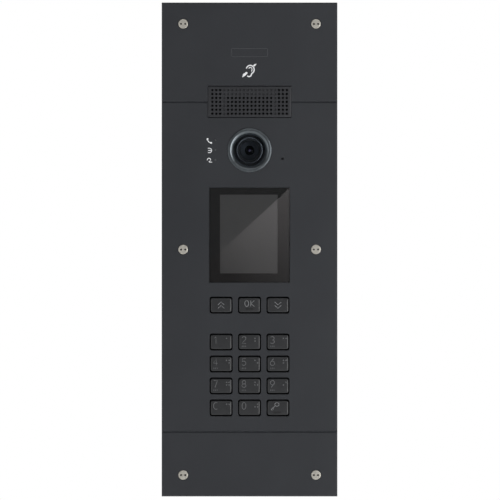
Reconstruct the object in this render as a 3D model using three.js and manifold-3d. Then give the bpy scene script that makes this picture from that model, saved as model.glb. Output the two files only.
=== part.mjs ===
// A flush-mounted door intercom panel, as an assembly of separate solids: faceplate, keys, camera,
// speaker, display, boards, rear housing and the box that is set into the wall.
//
// Millimetres. +X is right and +Z up for a person at the door, who stands on the -Y side.
// The wall's surface is the plane y = 0, and the origin is its point behind the faceplate's centre.
import * as THREE from "three";
import { mergeVertices } from "three/addons/utils/BufferGeometryUtils.js";
import Module from "manifold-3d";

const wasm = await Module();
wasm.setup();

// ---------------------------------------------------------------- driving dimensions

const SEAT = 0.25; // gap between pieces that rest on each other
const LOOSE = 0.5; // gap round a piece that drops into an opening
const TURNED_GAP = 0.3; // gap round a piece that stands in a turned group

// Faceplate
const PLATE_WIDTH = 160;
const PLATE_HEIGHT = 450;
const PLATE_THICK = 5;
const PLATE_CHAMFER = 1;
const GROOVE_WIDTH = 2.4;
const GROOVE_DEPTH = 1;
const GROOVE_GAP = 13.9; // from the lowest key openings down to the lower groove

// Gasket between faceplate and wall
const GASKET_THICK = 1.25;
const GASKET_BAND = 5.5;
const GASKET_INSET = 1.5;

// Security screws, with two spanner holes in each head
const SCREW_INSET = 19.5; // from the faceplate's edges to the outer screws
const SCREW_HEAD_RADIUS = 4.6;
const SCREW_HEAD_THICK = 2.4;
const SCREW_SHANK_RADIUS = 2.5;
const SCREW_SHANK_LENGTH = 17;
const SPANNER_HOLE_RADIUS = 0.65;
const SPANNER_HOLE_OFFSET = 2;
const SPANNER_HOLE_DEPTH = 1.1;

// Wall box
const BOX_INSET = 8; // the faceplate reaches this far past the box
const BOX_DEPTH = 50;
const BOX_WALL = 1.5;
const BOX_BOSS_RADIUS = 4.5;
const BOX_BOSS_DEPTH = 16;
const KNOCKOUT_RADIUS = 11;
const KNOCKOUT_SCORE = 1; // width of the scored ring
const SCORE_DEPTH = 0.6;
const RIB_WIDTH = 6;
const RIB_END_MARGIN = 70;
const ANCHOR_REACH = 6;
const ANCHOR_WIDTH = 14;
const GROMMET_RADIUS = 9.5;
const GROMMET_LIP = 2.5;
const GROMMET_LIP_THICK = 1.5;
const GROMMET_MEMBRANE = 1;

// Speaker grille, centred on the upper groove
const GRILLE_Z = 134.5;
const GRILLE_WIDTH = 75.4;
const GRILLE_HEIGHT = 28.4;
const GRILLE_SKIN = 2;
const GRILLE_RIM = 2; // wall round the hollow behind the holes
const GRILLE_FLANGE = 3; // how far the flange reaches past the opening
const FLANGE_THICK = 1.5;
const HOLE_COLUMNS = 20;
const HOLE_ROWS = 7;
const HOLE_PITCH = 3.57;
const HOLE_RADIUS = 0.95;
const BLIND_HOLE_DEPTH = 0.8;
const RIBBED_COLUMNS = [3, 16]; // these columns have a rib behind them
const BARRED_ROWS = 2; // and so have the top rows between the ribs
const BAR_THICK = 1;
const RIB_THICK = 2.6;

// Speaker
const SPEAKER_RADIUS = 20;
const SPEAKER_RIM = 1.5;
const SPEAKER_DEPTH = 9.5;
const MAGNET_RADIUS = 11;
const MAGNET_THICK = 4.75;
const BASKET_WALL = 1;
const CONE_THICK = 0.6;
const CONE_FOLD = 0.8;
const CAP_SHARE = 0.3; // of the cone's radius
const CAP_RISE = 2;
const MEMBRANE_THICK = 0.5;
const SPEAKER_GASKET_THICK = 1.5;
const SUPPORT_WALL = 2.5; // wall of the housing's tube that holds the speaker
const COIL_BAND = 3.2;
const COIL_THICK = 2;

// Camera
const CAMERA_GAP = 0.6; // from the hearing loop coil down to the ring's flange
const RING_RADIUS = 20;
const RING_BORE_RADIUS = 15.6;
const RING_PROUD = 1;
const RING_FLANGE = 2.5;
const RING_LEDGE = 1.2; // ledge that the window rests on
const WINDOW_RECESS = 0.75;
const WINDOW_THICK = 2;
const BARREL_RADIUS = 12;
const BARREL_NECK_RADIUS = 8;
const BARREL_NECK = 9;
const LENS_RADIUS = 9;
const LENS_EDGE = 2;
const LENS_SAG = 1.5;
const CAMERA_PLATE = 34;
const CAMERA_TUBE_RADIUS = 12.5;
const CAMERA_TUBE_LENGTH = 12.25;
const SENSOR_BOARD = 28;
const SENSOR_SIZE = 8;

// Microphone and status lights, placed from the camera ring's flange
const MIC_OFFSET = 7.4;
const MIC_DROP = 8;
const MIC_HOLE_RADIUS = 1.3;
const MIC_CAPSULE_RADIUS = 4.7;
const MIC_CAPSULE_THICK = 3.25;
const BOOT_WALL = 1.2;
const LIGHT_OFFSET = 8.5;
const LIGHT_PITCH = 9;
const LIGHT_COUNT = 3;
const LIGHT_PIN_RADIUS = 0.6;
const LIGHT_STUB_RADIUS = 1.2;
const LIGHT_BAR_WIDTH = 3.4;
const LED_SIZE = 2;
const LED_HEIGHT = 1;

// Display
const DISPLAY_GAP = 11.95; // from the camera ring's flange down to the glass
const ACTIVE_WIDTH = 52.5;
const ACTIVE_HEIGHT = 71.8;
const ACTIVE_SHIFT_X = -0.7; // of the lit area from the glass's centre
const ACTIVE_SHIFT_Z = 1;
const MASK_SIDE = 10.15;
const MASK_END = 7.05;
const MASK_THICK = 0.25;
const GLASS_THICK = 2.5;
const GLASS_RECESS = 0.25;
const LCD_BORDER = 2;
const LCD_THICK = 2;
const TRAY_WALL = 4;
const TRAY_POCKET = 0.5;

// Keys: one row of three above a pad of four rows of three
const KEY_COLUMNS = 3;
const PAD_ROWS = 4;
const KEY_OPENING_WIDTH = 21;
const KEY_OPENING_HEIGHT = 15.6;
const KEY_OPENING_CORNER = 2.2;
const KEY_SIDE_GAP = 0.7;
const KEY_END_GAP = 0.85;
const KEY_WEB_X = 4.9; // metal between neighbouring openings
const KEY_WEB_Z = 4.4;
const KEY_PROUD = 0.5;
const KEY_BEVEL = 0.5;
const KEY_FLANGE = 1.1;
const KEY_FLANGE_THICK = 1.25;
const TOP_KEYS_GAP = 13.05; // from the glass down to the first openings
const PAD_GAP = 13.6; // added between the first row and the pad
const DOME_HEIGHT = 2.5;
const DOME_RADIUS = 4.5;
const DOME_SKIRT = 1.5;
const PILL_RADIUS = 3;
const MAT_THICK = 1.25;
const MAT_MARGIN = 2;

// Boards and rear housing
const BOARD_THICK = 1.5;
const BOARD_SPACING = 15.25;
const COMPONENT_HEIGHT = 5.5;
const HOUSING_GAP = 2; // between the housing and the wall box's bosses
const HOUSING_WALL = 2.5;
const HOUSING_LEDGE = 2.5;
const HOUSING_FLOOR = 2.5;
const HOUSING_MARGIN = 4;
const SEAL_THICK = 1.5;
const CLIP_Z = 60; // clips that hold the main board against its ledge
const CLIP_REACH = 2;
const CLIP_WIDTH = 12;
const CLIP_THICK = 2;
const LUG_Z = 110;
const LUG_REACH = 6;
const LUG_WIDTH = 10;
const LUG_THICK = 3;
const LUG_SCREW_RADIUS = 1.4;
const LUG_SCREW_HEAD = 2.6;
const LUG_SCREW_HEAD_THICK = 2;
const LUG_SCREW_BITE = 2.5; // how far it reaches into the faceplate
const TERMINAL_PITCH = 5.08;
const TERMINAL_HEIGHT = 9;
const TERMINAL_LENGTH = 12;
const TERMINAL_Z_FROM_END = 20;
const WIRE_HOLE = 2.8;
const TERMINAL_SCREW_RADIUS = 1.4;
const TRIMMER_X = 14;
const TRIMMER_Z_FROM_END = 52;
const TRIMMER_RADIUS = 2.2;
const TRIMMER_BASE = 7;
const TRIMMER_BASE_THICK = 1.75;
const TRIMMER_ROTOR_THICK = 2.5;
const TRIMMER_SLOT = 0.6;
const RIBBON_WIDTH = 12;
const RIBBON_THICK = 0.4;
const RIBBON_X = 30;
const RIBBON_SAG = 3;
const CONNECTOR_HEIGHT = 2.5;

// ---------------------------------------------------------------- levels and places

// Levels behind the faceplate count from its back, and the unit's group carries them to the wall's frame.
const plateBackY = -(GASKET_THICK + SEAT);
const plateFront = -PLATE_THICK;
const keyFlangeBack = SEAT + KEY_FLANGE_THICK;
const domeFront = keyFlangeBack + SEAT;
const matFront = domeFront + DOME_HEIGHT;
const matBack = matFront + MAT_THICK;
const frontBoardFace = matBack + SEAT;
const frontBoardBack = frontBoardFace + BOARD_THICK;
const mainBoardFace = frontBoardBack + BOARD_SPACING;
const mainBoardBack = mainBoardFace + BOARD_THICK;
const floorFace = mainBoardBack + COMPONENT_HEIGHT;
const floorBack = floorFace + HOUSING_FLOOR;
const flangeBack = SEAT + FLANGE_THICK;
const housingRim = SEAT + SEAL_THICK + SEAT;

const screwX = PLATE_WIDTH / 2 - SCREW_INSET;
const screwZ = PLATE_HEIGHT / 2 - SCREW_INSET;
const boxHalfWidth = PLATE_WIDTH / 2 - BOX_INSET;
const boxHalfHeight = PLATE_HEIGHT / 2 - BOX_INSET;

const grilleFlangeWidth = GRILLE_WIDTH + 2 * GRILLE_FLANGE;
const grilleFlangeHeight = GRILLE_HEIGHT + 2 * GRILLE_FLANGE;
const coilInnerWidth = grilleFlangeWidth + 2 * LOOSE;
const coilInnerHeight = grilleFlangeHeight + 2 * LOOSE;
const speakerFront = flangeBack + SEAT + MEMBRANE_THICK + SEAT + SPEAKER_GASKET_THICK + SEAT;
const speakerRimBack = speakerFront + SPEAKER_RIM;
const supportRadius = SPEAKER_RADIUS - SPEAKER_RIM + LOOSE + SUPPORT_WALL;

const ringFlangeRadius = RING_RADIUS + RING_FLANGE;
const cameraZ = GRILLE_Z - coilInnerHeight / 2 - COIL_BAND - CAMERA_GAP - ringFlangeRadius;
const windowFront = plateFront + WINDOW_RECESS;
const windowSeat = windowFront + WINDOW_THICK + SEAT;
const barrelFront = windowSeat + LOOSE;
const cameraPlateFront = flangeBack + SEAT;
const cameraPlateBack = frontBoardFace - SEAT;
const barrelShoulder = cameraPlateBack - SEAT;
const cameraTubeBack = cameraPlateBack + CAMERA_TUBE_LENGTH;
const micX = ringFlangeRadius + MIC_OFFSET;
const micZ = cameraZ - MIC_DROP;
const lightX = -(ringFlangeRadius + LIGHT_OFFSET);

const glassWidth = ACTIVE_WIDTH + 2 * MASK_SIDE;
const glassHeight = ACTIVE_HEIGHT + 2 * MASK_END;
const displayZ = cameraZ - ringFlangeRadius - DISPLAY_GAP - glassHeight / 2;
const glassFront = plateFront + GLASS_RECESS;
const glassBack = glassFront + GLASS_THICK;
const maskBack = glassBack + SEAT + MASK_THICK;
const glassSeat = maskBack + SEAT;
const lcdWidth = ACTIVE_WIDTH + 2 * LCD_BORDER;
const lcdHeight = ACTIVE_HEIGHT + 2 * LCD_BORDER;
const trayPocketFloor = SEAT + TRAY_POCKET;

const keyPitchX = KEY_OPENING_WIDTH + KEY_WEB_X;
const keyPitchZ = KEY_OPENING_HEIGHT + KEY_WEB_Z;
const keyFlangeWidth = KEY_OPENING_WIDTH + 2 * KEY_FLANGE;
const keyFlangeHeight = KEY_OPENING_HEIGHT + 2 * KEY_FLANGE;
const topKeysZ = displayZ - glassHeight / 2 - TOP_KEYS_GAP - KEY_OPENING_HEIGHT / 2;
const padTopZ = topKeysZ - keyPitchZ - PAD_GAP;
const padBottomZ = padTopZ - (PAD_ROWS - 1) * keyPitchZ;
const lowerGrooveZ = padBottomZ - KEY_OPENING_HEIGHT / 2 - GROOVE_GAP;
const matTop = topKeysZ + keyFlangeHeight / 2 + MAT_MARGIN;
const matBottom = padBottomZ - keyFlangeHeight / 2 - MAT_MARGIN;
const matHalfWidth = keyPitchX + keyFlangeWidth / 2 + MAT_MARGIN;

const housingHalfWidth = screwX - BOX_BOSS_RADIUS - HOUSING_GAP;
const speakerReach = Math.max(coilInnerHeight / 2 + COIL_BAND, SPEAKER_RADIUS + LOOSE);
const housingTop = GRILLE_Z + speakerReach + HOUSING_MARGIN;
const housingBottom = matBottom - HOUSING_MARGIN;
const frontBoardHalfWidth = housingHalfWidth - HOUSING_WALL - LOOSE;
const mainBoardHalfWidth = frontBoardHalfWidth - HOUSING_LEDGE;
const boardTop = GRILLE_Z - supportRadius - 3 * LOOSE;
const frontBoardBottom = housingBottom + HOUSING_WALL + LOOSE;
const mainBoardBottom = frontBoardBottom + HOUSING_LEDGE;
const lugX = housingHalfWidth + SEAT + LUG_REACH / 2;
const terminalZ = mainBoardBottom + TERMINAL_Z_FROM_END;
const trimmerZ = mainBoardBottom + TRIMMER_Z_FROM_END;
const trimmerBaseBack = mainBoardBack + TRIMMER_BASE_THICK;
const ribbonZ = (displayZ + glassHeight / 2 + cameraZ - CAMERA_PLATE / 2) / 2;

// Every key: its name, and the place of its centre on the faceplate.
const keys = [];
["scroll_up", "ok", "scroll_down"].forEach((name, column) =>
  keys.push({ name: `key_${name}`, x: (column - 1) * keyPitchX, z: topKeysZ }),
);
["1", "2", "3", "4", "5", "6", "7", "8", "9", "clear", "0", "unlock"].forEach((name, i) =>
  keys.push({
    name: `key_${name}`,
    x: ((i % KEY_COLUMNS) - 1) * keyPitchX,
    z: padTopZ - Math.floor(i / KEY_COLUMNS) * keyPitchZ,
  }),
);

// Every security screw: its name, and its place on the faceplate.
const screws = [
  ["top", screwZ],
  ["middle", 0],
  ["bottom", -screwZ],
].flatMap(([row, z]) => [
  { name: `security_screw_${row}_left`, x: -screwX, z },
  { name: `security_screw_${row}_right`, x: screwX, z },
]);

// ---------------------------------------------------------------- materials

function material(color, roughness, metalness) {
  return new THREE.MeshStandardMaterial({ color, roughness, metalness });
}
const coatedMetal = material(0x37383c, 0.55, 0.3);
const blackPlastic = material(0x1d1e20, 0.5, 0);
const keyPlastic = material(0x35363a, 0.42, 0.1);
const ringMetal = material(0x66707a, 0.28, 0.8);
const screwSteel = material(0xb9b6ae, 0.35, 0.9);
const zincSteel = material(0xa8adb2, 0.4, 0.85);
const rubber = material(0x18181a, 0.85, 0);
const silicone = material(0x2a2b2e, 0.75, 0);
const clearGlass = material(0x22262a, 0.05, 0);
const blackPrint = material(0x101011, 0.4, 0);
const lcdGlass = material(0x3f3f3f, 0.3, 0);
const boardGreen = material(0x1f5a38, 0.5, 0);
const terminalGreen = material(0x2f8a4a, 0.5, 0);
const copper = material(0xb5703c, 0.35, 0.9);
const foam = material(0x2b2b2b, 0.95, 0);
const paper = material(0x3a3632, 0.9, 0);
const ferrite = material(0x5a5c60, 0.45, 0.7);
const lightPipe = material(0xe6eaee, 0.15, 0);
const ribbonWhite = material(0xd9d6cc, 0.5, 0);
const trimmerBlue = material(0xd8d4c8, 0.5, 0);

// ---------------------------------------------------------------- solids

// A closed three.js geometry as a manifold-3d solid.
function solid(geometry) {
  const bare = geometry.index ? geometry.toNonIndexed() : geometry.clone();
  bare.deleteAttribute("normal");
  bare.deleteAttribute("uv");
  const merged = mergeVertices(bare, 1e-4);
  const corners = merged.index.array;
  const kept = [];
  for (let i = 0; i < corners.length; i += 3) {
    const [a, b, c] = [corners[i], corners[i + 1], corners[i + 2]];
    if (a !== b && b !== c && c !== a) kept.push(a, b, c);
  }
  return new wasm.Manifold(
    new wasm.Mesh({
      numProp: 3,
      vertProperties: new Float32Array(merged.attributes.position.array),
      triVerts: new Uint32Array(kept),
    }),
  );
}

const join = (...solids) => solids.reduce((whole, piece) => whole.add(piece));
const cut = (whole, ...pieces) => pieces.reduce((rest, piece) => rest.subtract(piece), whole);

function geometryOf(manifold) {
  const mesh = manifold.getMesh();
  const positions = new Float32Array(mesh.numVert * 3);
  for (let i = 0; i < mesh.numVert; i++) {
    const start = i * mesh.numProp;
    positions.set(mesh.vertProperties.subarray(start, start + 3), i * 3);
  }
  return new THREE.BufferGeometry()
    .setAttribute("position", new THREE.BufferAttribute(positions, 3))
    .setIndex(new THREE.BufferAttribute(mesh.triVerts, 1));
}

// Puts a solid into a group as a named mesh.
function add(group, name, manifold, look, x = 0, y = 0, z = 0) {
  const mesh = new THREE.Mesh(geometryOf(manifold), look);
  mesh.name = name;
  mesh.position.set(x, y, z);
  group.add(mesh);
  return mesh;
}

function subgroup(parent, x, y, z) {
  const group = new THREE.Group();
  group.position.set(x, y, z);
  parent.add(group);
  return group;
}

// A box from its lowest to its highest corner.
function block(x0, x1, y0, y1, z0, z1) {
  const geometry = new THREE.BoxGeometry(x1 - x0, y1 - y0, z1 - z0);
  return solid(geometry.translate((x0 + x1) / 2, (y0 + y1) / 2, (z0 + z1) / 2));
}

// A box centred on (x, z), from y0 to y1.
function slab(width, height, y0, y1, x = 0, z = 0) {
  return block(x - width / 2, x + width / 2, y0, y1, z - height / 2, z + height / 2);
}

// Turns an extrusion along +Z into one along -Y that ends at y1, with the shape's y as z.
const extrusionToWall = (y1) => new THREE.Matrix4().set(1, 0, 0, 0, 0, 0, -1, y1, 0, 1, 0, 0, 0, 0, 0, 1);

// A shape in the XZ plane, extruded from y0 to y1.
function prism(shape, y0, y1, curveSegments = 3) {
  const geometry = new THREE.ExtrudeGeometry(shape, { depth: y1 - y0, bevelEnabled: false, curveSegments });
  return solid(geometry.applyMatrix4(extrusionToWall(y1)));
}

// The same with the edge of its y0 end bevelled.
function bevelledPrism(shape, y0, y1, bevel, reach, curveSegments = 3) {
  const geometry = new THREE.ExtrudeGeometry(shape, {
    depth: y1 - y0 - bevel,
    bevelThickness: bevel,
    bevelSize: bevel,
    bevelOffset: -bevel,
    bevelSegments: 1,
    curveSegments,
  });
  const bothEnds = solid(geometry.applyMatrix4(extrusionToWall(y1)));
  return cut(bothEnds, slab(reach, reach, y1, y1 + 2 * bevel));
}

function roundedRectangle(width, height, corner) {
  const [x, z] = [width / 2, height / 2];
  const shape = new THREE.Shape();
  shape.moveTo(-x + corner, -z).lineTo(x - corner, -z);
  shape.absarc(x - corner, -z + corner, corner, -Math.PI / 2, 0);
  shape.absarc(x - corner, z - corner, corner, 0, Math.PI / 2);
  shape.absarc(-x + corner, z - corner, corner, Math.PI / 2, Math.PI);
  shape.absarc(-x + corner, -z + corner, corner, Math.PI, (3 * Math.PI) / 2);
  return shape;
}

function rectangle(width, height) {
  const [x, z] = [width / 2, height / 2];
  return new THREE.Shape([
    new THREE.Vector2(-x, -z),
    new THREE.Vector2(x, -z),
    new THREE.Vector2(x, z),
    new THREE.Vector2(-x, z),
  ]);
}

// A rectangular ring in the XZ plane.
function frame(outerWidth, outerHeight, innerWidth, innerHeight, y0, y1, x = 0, z = 0) {
  return cut(
    slab(outerWidth, outerHeight, y0, y1),
    slab(innerWidth, innerHeight, y0 - LOOSE, y1 + LOOSE, x, z),
  );
}

// A cylinder along Y.
function rod(radius, y0, y1, x = 0, z = 0, sides = 16) {
  const geometry = new THREE.CylinderGeometry(radius, radius, y1 - y0, sides);
  return solid(geometry.translate(x, (y0 + y1) / 2, z));
}

// A profile of [radius, y] pairs turned about Y. It runs from low y to high y on its outer side.
function turned(profile, sides) {
  const points = profile.map(([radius, y]) => new THREE.Vector2(radius, y));
  return solid(new THREE.LatheGeometry(points, sides));
}

const tube = (outer, inner, y0, y1, sides) =>
  turned([[inner, y1], [inner, y0], [outer, y0], [outer, y1], [inner, y1]], sides);

// ---------------------------------------------------------------- faceplate, gasket and screws

function faceplate() {
  const through = [plateFront - LOOSE, LOOSE];
  let plate = bevelledPrism(
    rectangle(PLATE_WIDTH, PLATE_HEIGHT), plateFront, 0, PLATE_CHAMFER, 2 * PLATE_HEIGHT,
  );
  for (const z of [GRILLE_Z, lowerGrooveZ]) plate = cut(plate, groove(z));

  plate = cut(plate, slab(GRILLE_WIDTH + 2 * LOOSE, GRILLE_HEIGHT + 2 * LOOSE, ...through, 0, GRILLE_Z));
  plate = cut(plate, rod(RING_RADIUS + TURNED_GAP, ...through, 0, cameraZ, 40));
  plate = cut(plate, rod(MIC_HOLE_RADIUS, ...through, micX, micZ, 12));
  for (const z of lightPlaces()) plate = cut(plate, rod(LIGHT_PIN_RADIUS + SEAT, ...through, lightX, z, 8));

  plate = cut(
    plate,
    slab(glassWidth + 2 * LOOSE, glassHeight + 2 * LOOSE, plateFront - LOOSE, glassSeat, 0, displayZ),
    slab(
      lcdWidth + 2 * LOOSE, lcdHeight + 2 * LOOSE, ...through,
      ACTIVE_SHIFT_X, displayZ + ACTIVE_SHIFT_Z,
    ),
  );

  const opening = prism(
    roundedRectangle(KEY_OPENING_WIDTH, KEY_OPENING_HEIGHT, KEY_OPENING_CORNER), ...through,
  );
  for (const key of keys) plate = cut(plate, opening.translate([key.x, 0, key.z]));

  const headPocket = SCREW_HEAD_THICK + SEAT;
  for (const { x, z } of screws) {
    plate = cut(
      plate,
      rod(SCREW_HEAD_RADIUS + SEAT, plateFront - LOOSE, plateFront + headPocket, x, z, 24),
      rod(SCREW_SHANK_RADIUS + SEAT, ...through, x, z, 8),
    );
  }
  for (const [x, z] of lugPlaces()) {
    plate = join(plate, rod(LUG_REACH / 2, -LOOSE, housingRim - SEAT, x, z, 12));
    plate = cut(plate, rod(LUG_SCREW_RADIUS + SEAT, -LUG_SCREW_BITE - LOOSE, housingRim, x, z, 12));
  }
  return plate;
}

// A V across the whole front at height z.
function groove(z) {
  const shape = new THREE.Shape([
    new THREE.Vector2(-GROOVE_WIDTH, plateFront - GROOVE_DEPTH),
    new THREE.Vector2(GROOVE_WIDTH, plateFront - GROOVE_DEPTH),
    new THREE.Vector2(0, plateFront + GROOVE_DEPTH),
  ]);
  const geometry = new THREE.ExtrudeGeometry(shape, { depth: 2 * PLATE_WIDTH, bevelEnabled: false });
  // The shape's x becomes z, its y stays y, and it runs along X.
  const along = new THREE.Matrix4().set(0, 0, -1, PLATE_WIDTH, 0, 1, 0, 0, 1, 0, 0, z, 0, 0, 0, 1);
  return solid(geometry.applyMatrix4(along));
}

function wallGasket() {
  const [width, height] = [PLATE_WIDTH - 2 * GASKET_INSET, PLATE_HEIGHT - 2 * GASKET_INSET];
  return frame(width, height, width - 2 * GASKET_BAND, height - 2 * GASKET_BAND, SEAT, SEAT + GASKET_THICK);
}

function securityScrew() {
  const headBack = plateFront + SCREW_HEAD_THICK;
  let screw = join(
    rod(SCREW_HEAD_RADIUS, plateFront, headBack, 0, 0, 24),
    rod(SCREW_SHANK_RADIUS, headBack - LOOSE, headBack + SCREW_SHANK_LENGTH, 0, 0, 12),
  );
  const holeBack = plateFront + SPANNER_HOLE_DEPTH;
  for (const x of [-SPANNER_HOLE_OFFSET, SPANNER_HOLE_OFFSET]) {
    screw = cut(screw, rod(SPANNER_HOLE_RADIUS, plateFront - LOOSE, holeBack, x, 0, 8));
  }
  return screw;
}

// ---------------------------------------------------------------- wall box

function wallBox() {
  const [w, h, front, back] = [boxHalfWidth, boxHalfHeight, SEAT, BOX_DEPTH];
  let box = cut(
    block(-w, w, front, back, -h, h),
    block(-w + BOX_WALL, w - BOX_WALL, front - LOOSE, back - BOX_WALL, -h + BOX_WALL, h - BOX_WALL),
  );
  for (const { x, z } of screws) {
    const side = Math.sign(x);
    const web = [x, side * (w - BOX_WALL / 2)].sort((a, b) => a - b);
    box = join(
      box,
      rod(BOX_BOSS_RADIUS, front, BOX_BOSS_DEPTH, x, z, 10),
      block(...web, front, BOX_BOSS_DEPTH, z - BOX_WALL, z + BOX_WALL),
    );
  }
  for (const { x, z } of screws) {
    box = cut(box, rod(SCREW_SHANK_RADIUS + SEAT, front - LOOSE, BOX_BOSS_DEPTH + LOOSE, x, z, 8));
  }
  for (const x of [-w / 2, w / 2]) {
    const rib = h - RIB_END_MARGIN;
    box = cut(box, block(x - RIB_WIDTH / 2, x + RIB_WIDTH / 2, back - SCORE_DEPTH, back + LOOSE, -rib, rib));
  }
  for (const [x, z] of [[0, h - RIB_END_MARGIN], [0, 0], [0, RIB_END_MARGIN - h]]) {
    const score = knockout().translate([x, back, z]);
    box = cut(box, score);
  }
  for (const x of [-w / 2, w / 2]) {
    const onTop = knockout().rotate([90, 0, 0]).translate([x, back / 2, h]);
    const below = knockout().rotate([-90, 0, 0]).translate([x, back / 2, -h]);
    box = cut(box, onTop, below);
  }
  box = cut(box, grommetHole());
  for (const side of [-1, 1]) {
    for (const z of [-h / 2, h / 2]) {
      const reach = [side * (w - BOX_WALL / 2), side * (w + ANCHOR_REACH)].sort((a, b) => a - b);
      box = join(
        box,
        block(...reach, back / 2, back / 2 + BOX_WALL, z - ANCHOR_WIDTH / 2, z + ANCHOR_WIDTH / 2),
      );
    }
  }
  return box;
}

// The scored ring of a knock-out, sunk into a face whose outward normal is +Y.
function knockout() {
  return tube(KNOCKOUT_RADIUS, KNOCKOUT_RADIUS - KNOCKOUT_SCORE, -SCORE_DEPTH, LOOSE, 10);
}

function grommetHole() {
  const hole = rod(GROMMET_RADIUS + TURNED_GAP, -BOX_WALL - LOOSE, BOX_WALL + LOOSE, 0, 0, 16);
  return hole.rotate([90, 0, 0]).translate([0, BOX_DEPTH / 2, -boxHalfHeight]);
}

// A rubber grommet turned about Y, whose groove holds the box's bottom wall from -BOX_WALL to 0.
function cableGrommet() {
  const lip = GROMMET_RADIUS + GROMMET_LIP;
  const [inside, outside] = [-BOX_WALL - TURNED_GAP, TURNED_GAP];
  const bore = GROMMET_RADIUS - GROMMET_LIP;
  return turned(
    [
      [0, inside],
      [bore / 2, inside],
      [bore, inside - GROMMET_LIP_THICK],
      [lip, inside - GROMMET_LIP_THICK],
      [lip, inside],
      [GROMMET_RADIUS, inside],
      [GROMMET_RADIUS, outside],
      [lip, outside],
      [lip - GROMMET_LIP_THICK, outside + GROMMET_LIP_THICK],
      [bore, outside + GROMMET_LIP_THICK],
      [bore / 2, inside + GROMMET_MEMBRANE],
      [0, inside + GROMMET_MEMBRANE],
    ],
    16,
  );
}

// ---------------------------------------------------------------- grille and speaker

const holeX = (column) => (column - (HOLE_COLUMNS - 1) / 2) * HOLE_PITCH;
const holeZ = (row) => ((HOLE_ROWS - 1) / 2 - row) * HOLE_PITCH;

function speakerGrille() {
  const skinBack = plateFront + GRILLE_SKIN;
  let grille = join(
    slab(GRILLE_WIDTH, GRILLE_HEIGHT, plateFront, flangeBack),
    slab(grilleFlangeWidth, grilleFlangeHeight, SEAT, flangeBack),
  );
  grille = cut(
    grille,
    slab(GRILLE_WIDTH - 2 * GRILLE_RIM, GRILLE_HEIGHT - 2 * GRILLE_RIM, skinBack, flangeBack + LOOSE),
  );
  for (const column of RIBBED_COLUMNS) {
    grille = join(
      grille,
      slab(RIB_THICK, GRILLE_HEIGHT - GRILLE_RIM, skinBack - LOOSE, flangeBack, holeX(column)),
    );
  }
  const barTop = GRILLE_HEIGHT / 2 - GRILLE_RIM / 2;
  const barBottom = (holeZ(BARRED_ROWS - 1) + holeZ(BARRED_ROWS)) / 2;
  const [barLeft, barRight] = RIBBED_COLUMNS.map(holeX);
  grille = join(grille, block(barLeft, barRight, skinBack - LOOSE, skinBack + BAR_THICK, barBottom, barTop));
  return cut(grille, grilleHoles());
}

// One solid of all the holes. Those in front of a rib or the bar are blind.
function grilleHoles() {
  const drilled = [];
  for (let column = 0; column < HOLE_COLUMNS; column++) {
    for (let row = 0; row < HOLE_ROWS; row++) {
      const between = column > RIBBED_COLUMNS[0] && column < RIBBED_COLUMNS[1];
      const blind = RIBBED_COLUMNS.includes(column) || (between && row < BARRED_ROWS);
      const depth = blind ? BLIND_HOLE_DEPTH : GRILLE_SKIN + LOOSE;
      drilled.push(rod(HOLE_RADIUS, plateFront - LOOSE, plateFront + depth, holeX(column), holeZ(row), 6));
    }
  }
  return join(...drilled);
}

function grilleMembrane() {
  const front = flangeBack + SEAT;
  return slab(GRILLE_WIDTH, GRILLE_HEIGHT, front, front + MEMBRANE_THICK);
}

function speakerGasket() {
  const back = speakerFront - SEAT;
  return tube(SPEAKER_RADIUS, SPEAKER_RADIUS - 2 * SPEAKER_RIM, back - SPEAKER_GASKET_THICK, back, 24);
}

function speakerFrame() {
  const back = speakerFront + SPEAKER_DEPTH;
  const basket = SPEAKER_RADIUS - SPEAKER_RIM;
  const inside = basket - BASKET_WALL;
  return turned(
    [
      [0, back - BASKET_WALL],
      [MAGNET_RADIUS, back - BASKET_WALL],
      [inside, speakerRimBack],
      [inside, speakerFront],
      [SPEAKER_RADIUS, speakerFront],
      [SPEAKER_RADIUS, speakerRimBack],
      [basket, speakerRimBack],
      [MAGNET_RADIUS + BASKET_WALL, back],
      [0, back],
    ],
    24,
  );
}

function speakerCone() {
  const edge = SPEAKER_RADIUS - SPEAKER_RIM - BASKET_WALL - TURNED_GAP;
  const fold = edge - CONE_FOLD;
  const capRadius = edge * CAP_SHARE;
  const back = speakerFront + SPEAKER_DEPTH - BASKET_WALL - TURNED_GAP;
  const deepest = back - CONE_THICK;
  return turned(
    [
      [0, deepest - CAP_RISE],
      [capRadius, deepest],
      [fold, speakerFront],
      [edge, speakerFront],
      [edge, speakerFront + CONE_THICK],
      [fold, speakerFront + CONE_THICK],
      [capRadius, back],
      [0, back],
    ],
    24,
  );
}

function speakerMagnet() {
  const front = speakerFront + SPEAKER_DEPTH + SEAT;
  return rod(MAGNET_RADIUS, front, front + MAGNET_THICK, 0, 0, 24);
}

function hearingLoopCoil() {
  const [width, height] = [coilInnerWidth, coilInnerHeight];
  return frame(width + 2 * COIL_BAND, height + 2 * COIL_BAND, width, height, SEAT, SEAT + COIL_THICK);
}

// ---------------------------------------------------------------- camera, microphone and lights

function cameraRing() {
  const ledge = RING_BORE_RADIUS - RING_LEDGE;
  const crown = (RING_RADIUS - RING_BORE_RADIUS) / 2;
  const middle = RING_BORE_RADIUS + crown;
  const bulge = [];
  const steps = 6;
  for (let i = 0; i <= steps; i++) {
    const angle = Math.PI * (1 - i / steps);
    bulge.push([middle + crown * Math.cos(angle), plateFront - RING_PROUD * Math.sin(angle)]);
  }
  return turned(
    [
      [ledge, flangeBack],
      [ledge, windowSeat],
      [RING_BORE_RADIUS, windowSeat],
      ...bulge,
      [RING_RADIUS, SEAT],
      [ringFlangeRadius, SEAT],
      [ringFlangeRadius, flangeBack],
      [ledge, flangeBack],
    ],
    40,
  );
}

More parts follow.
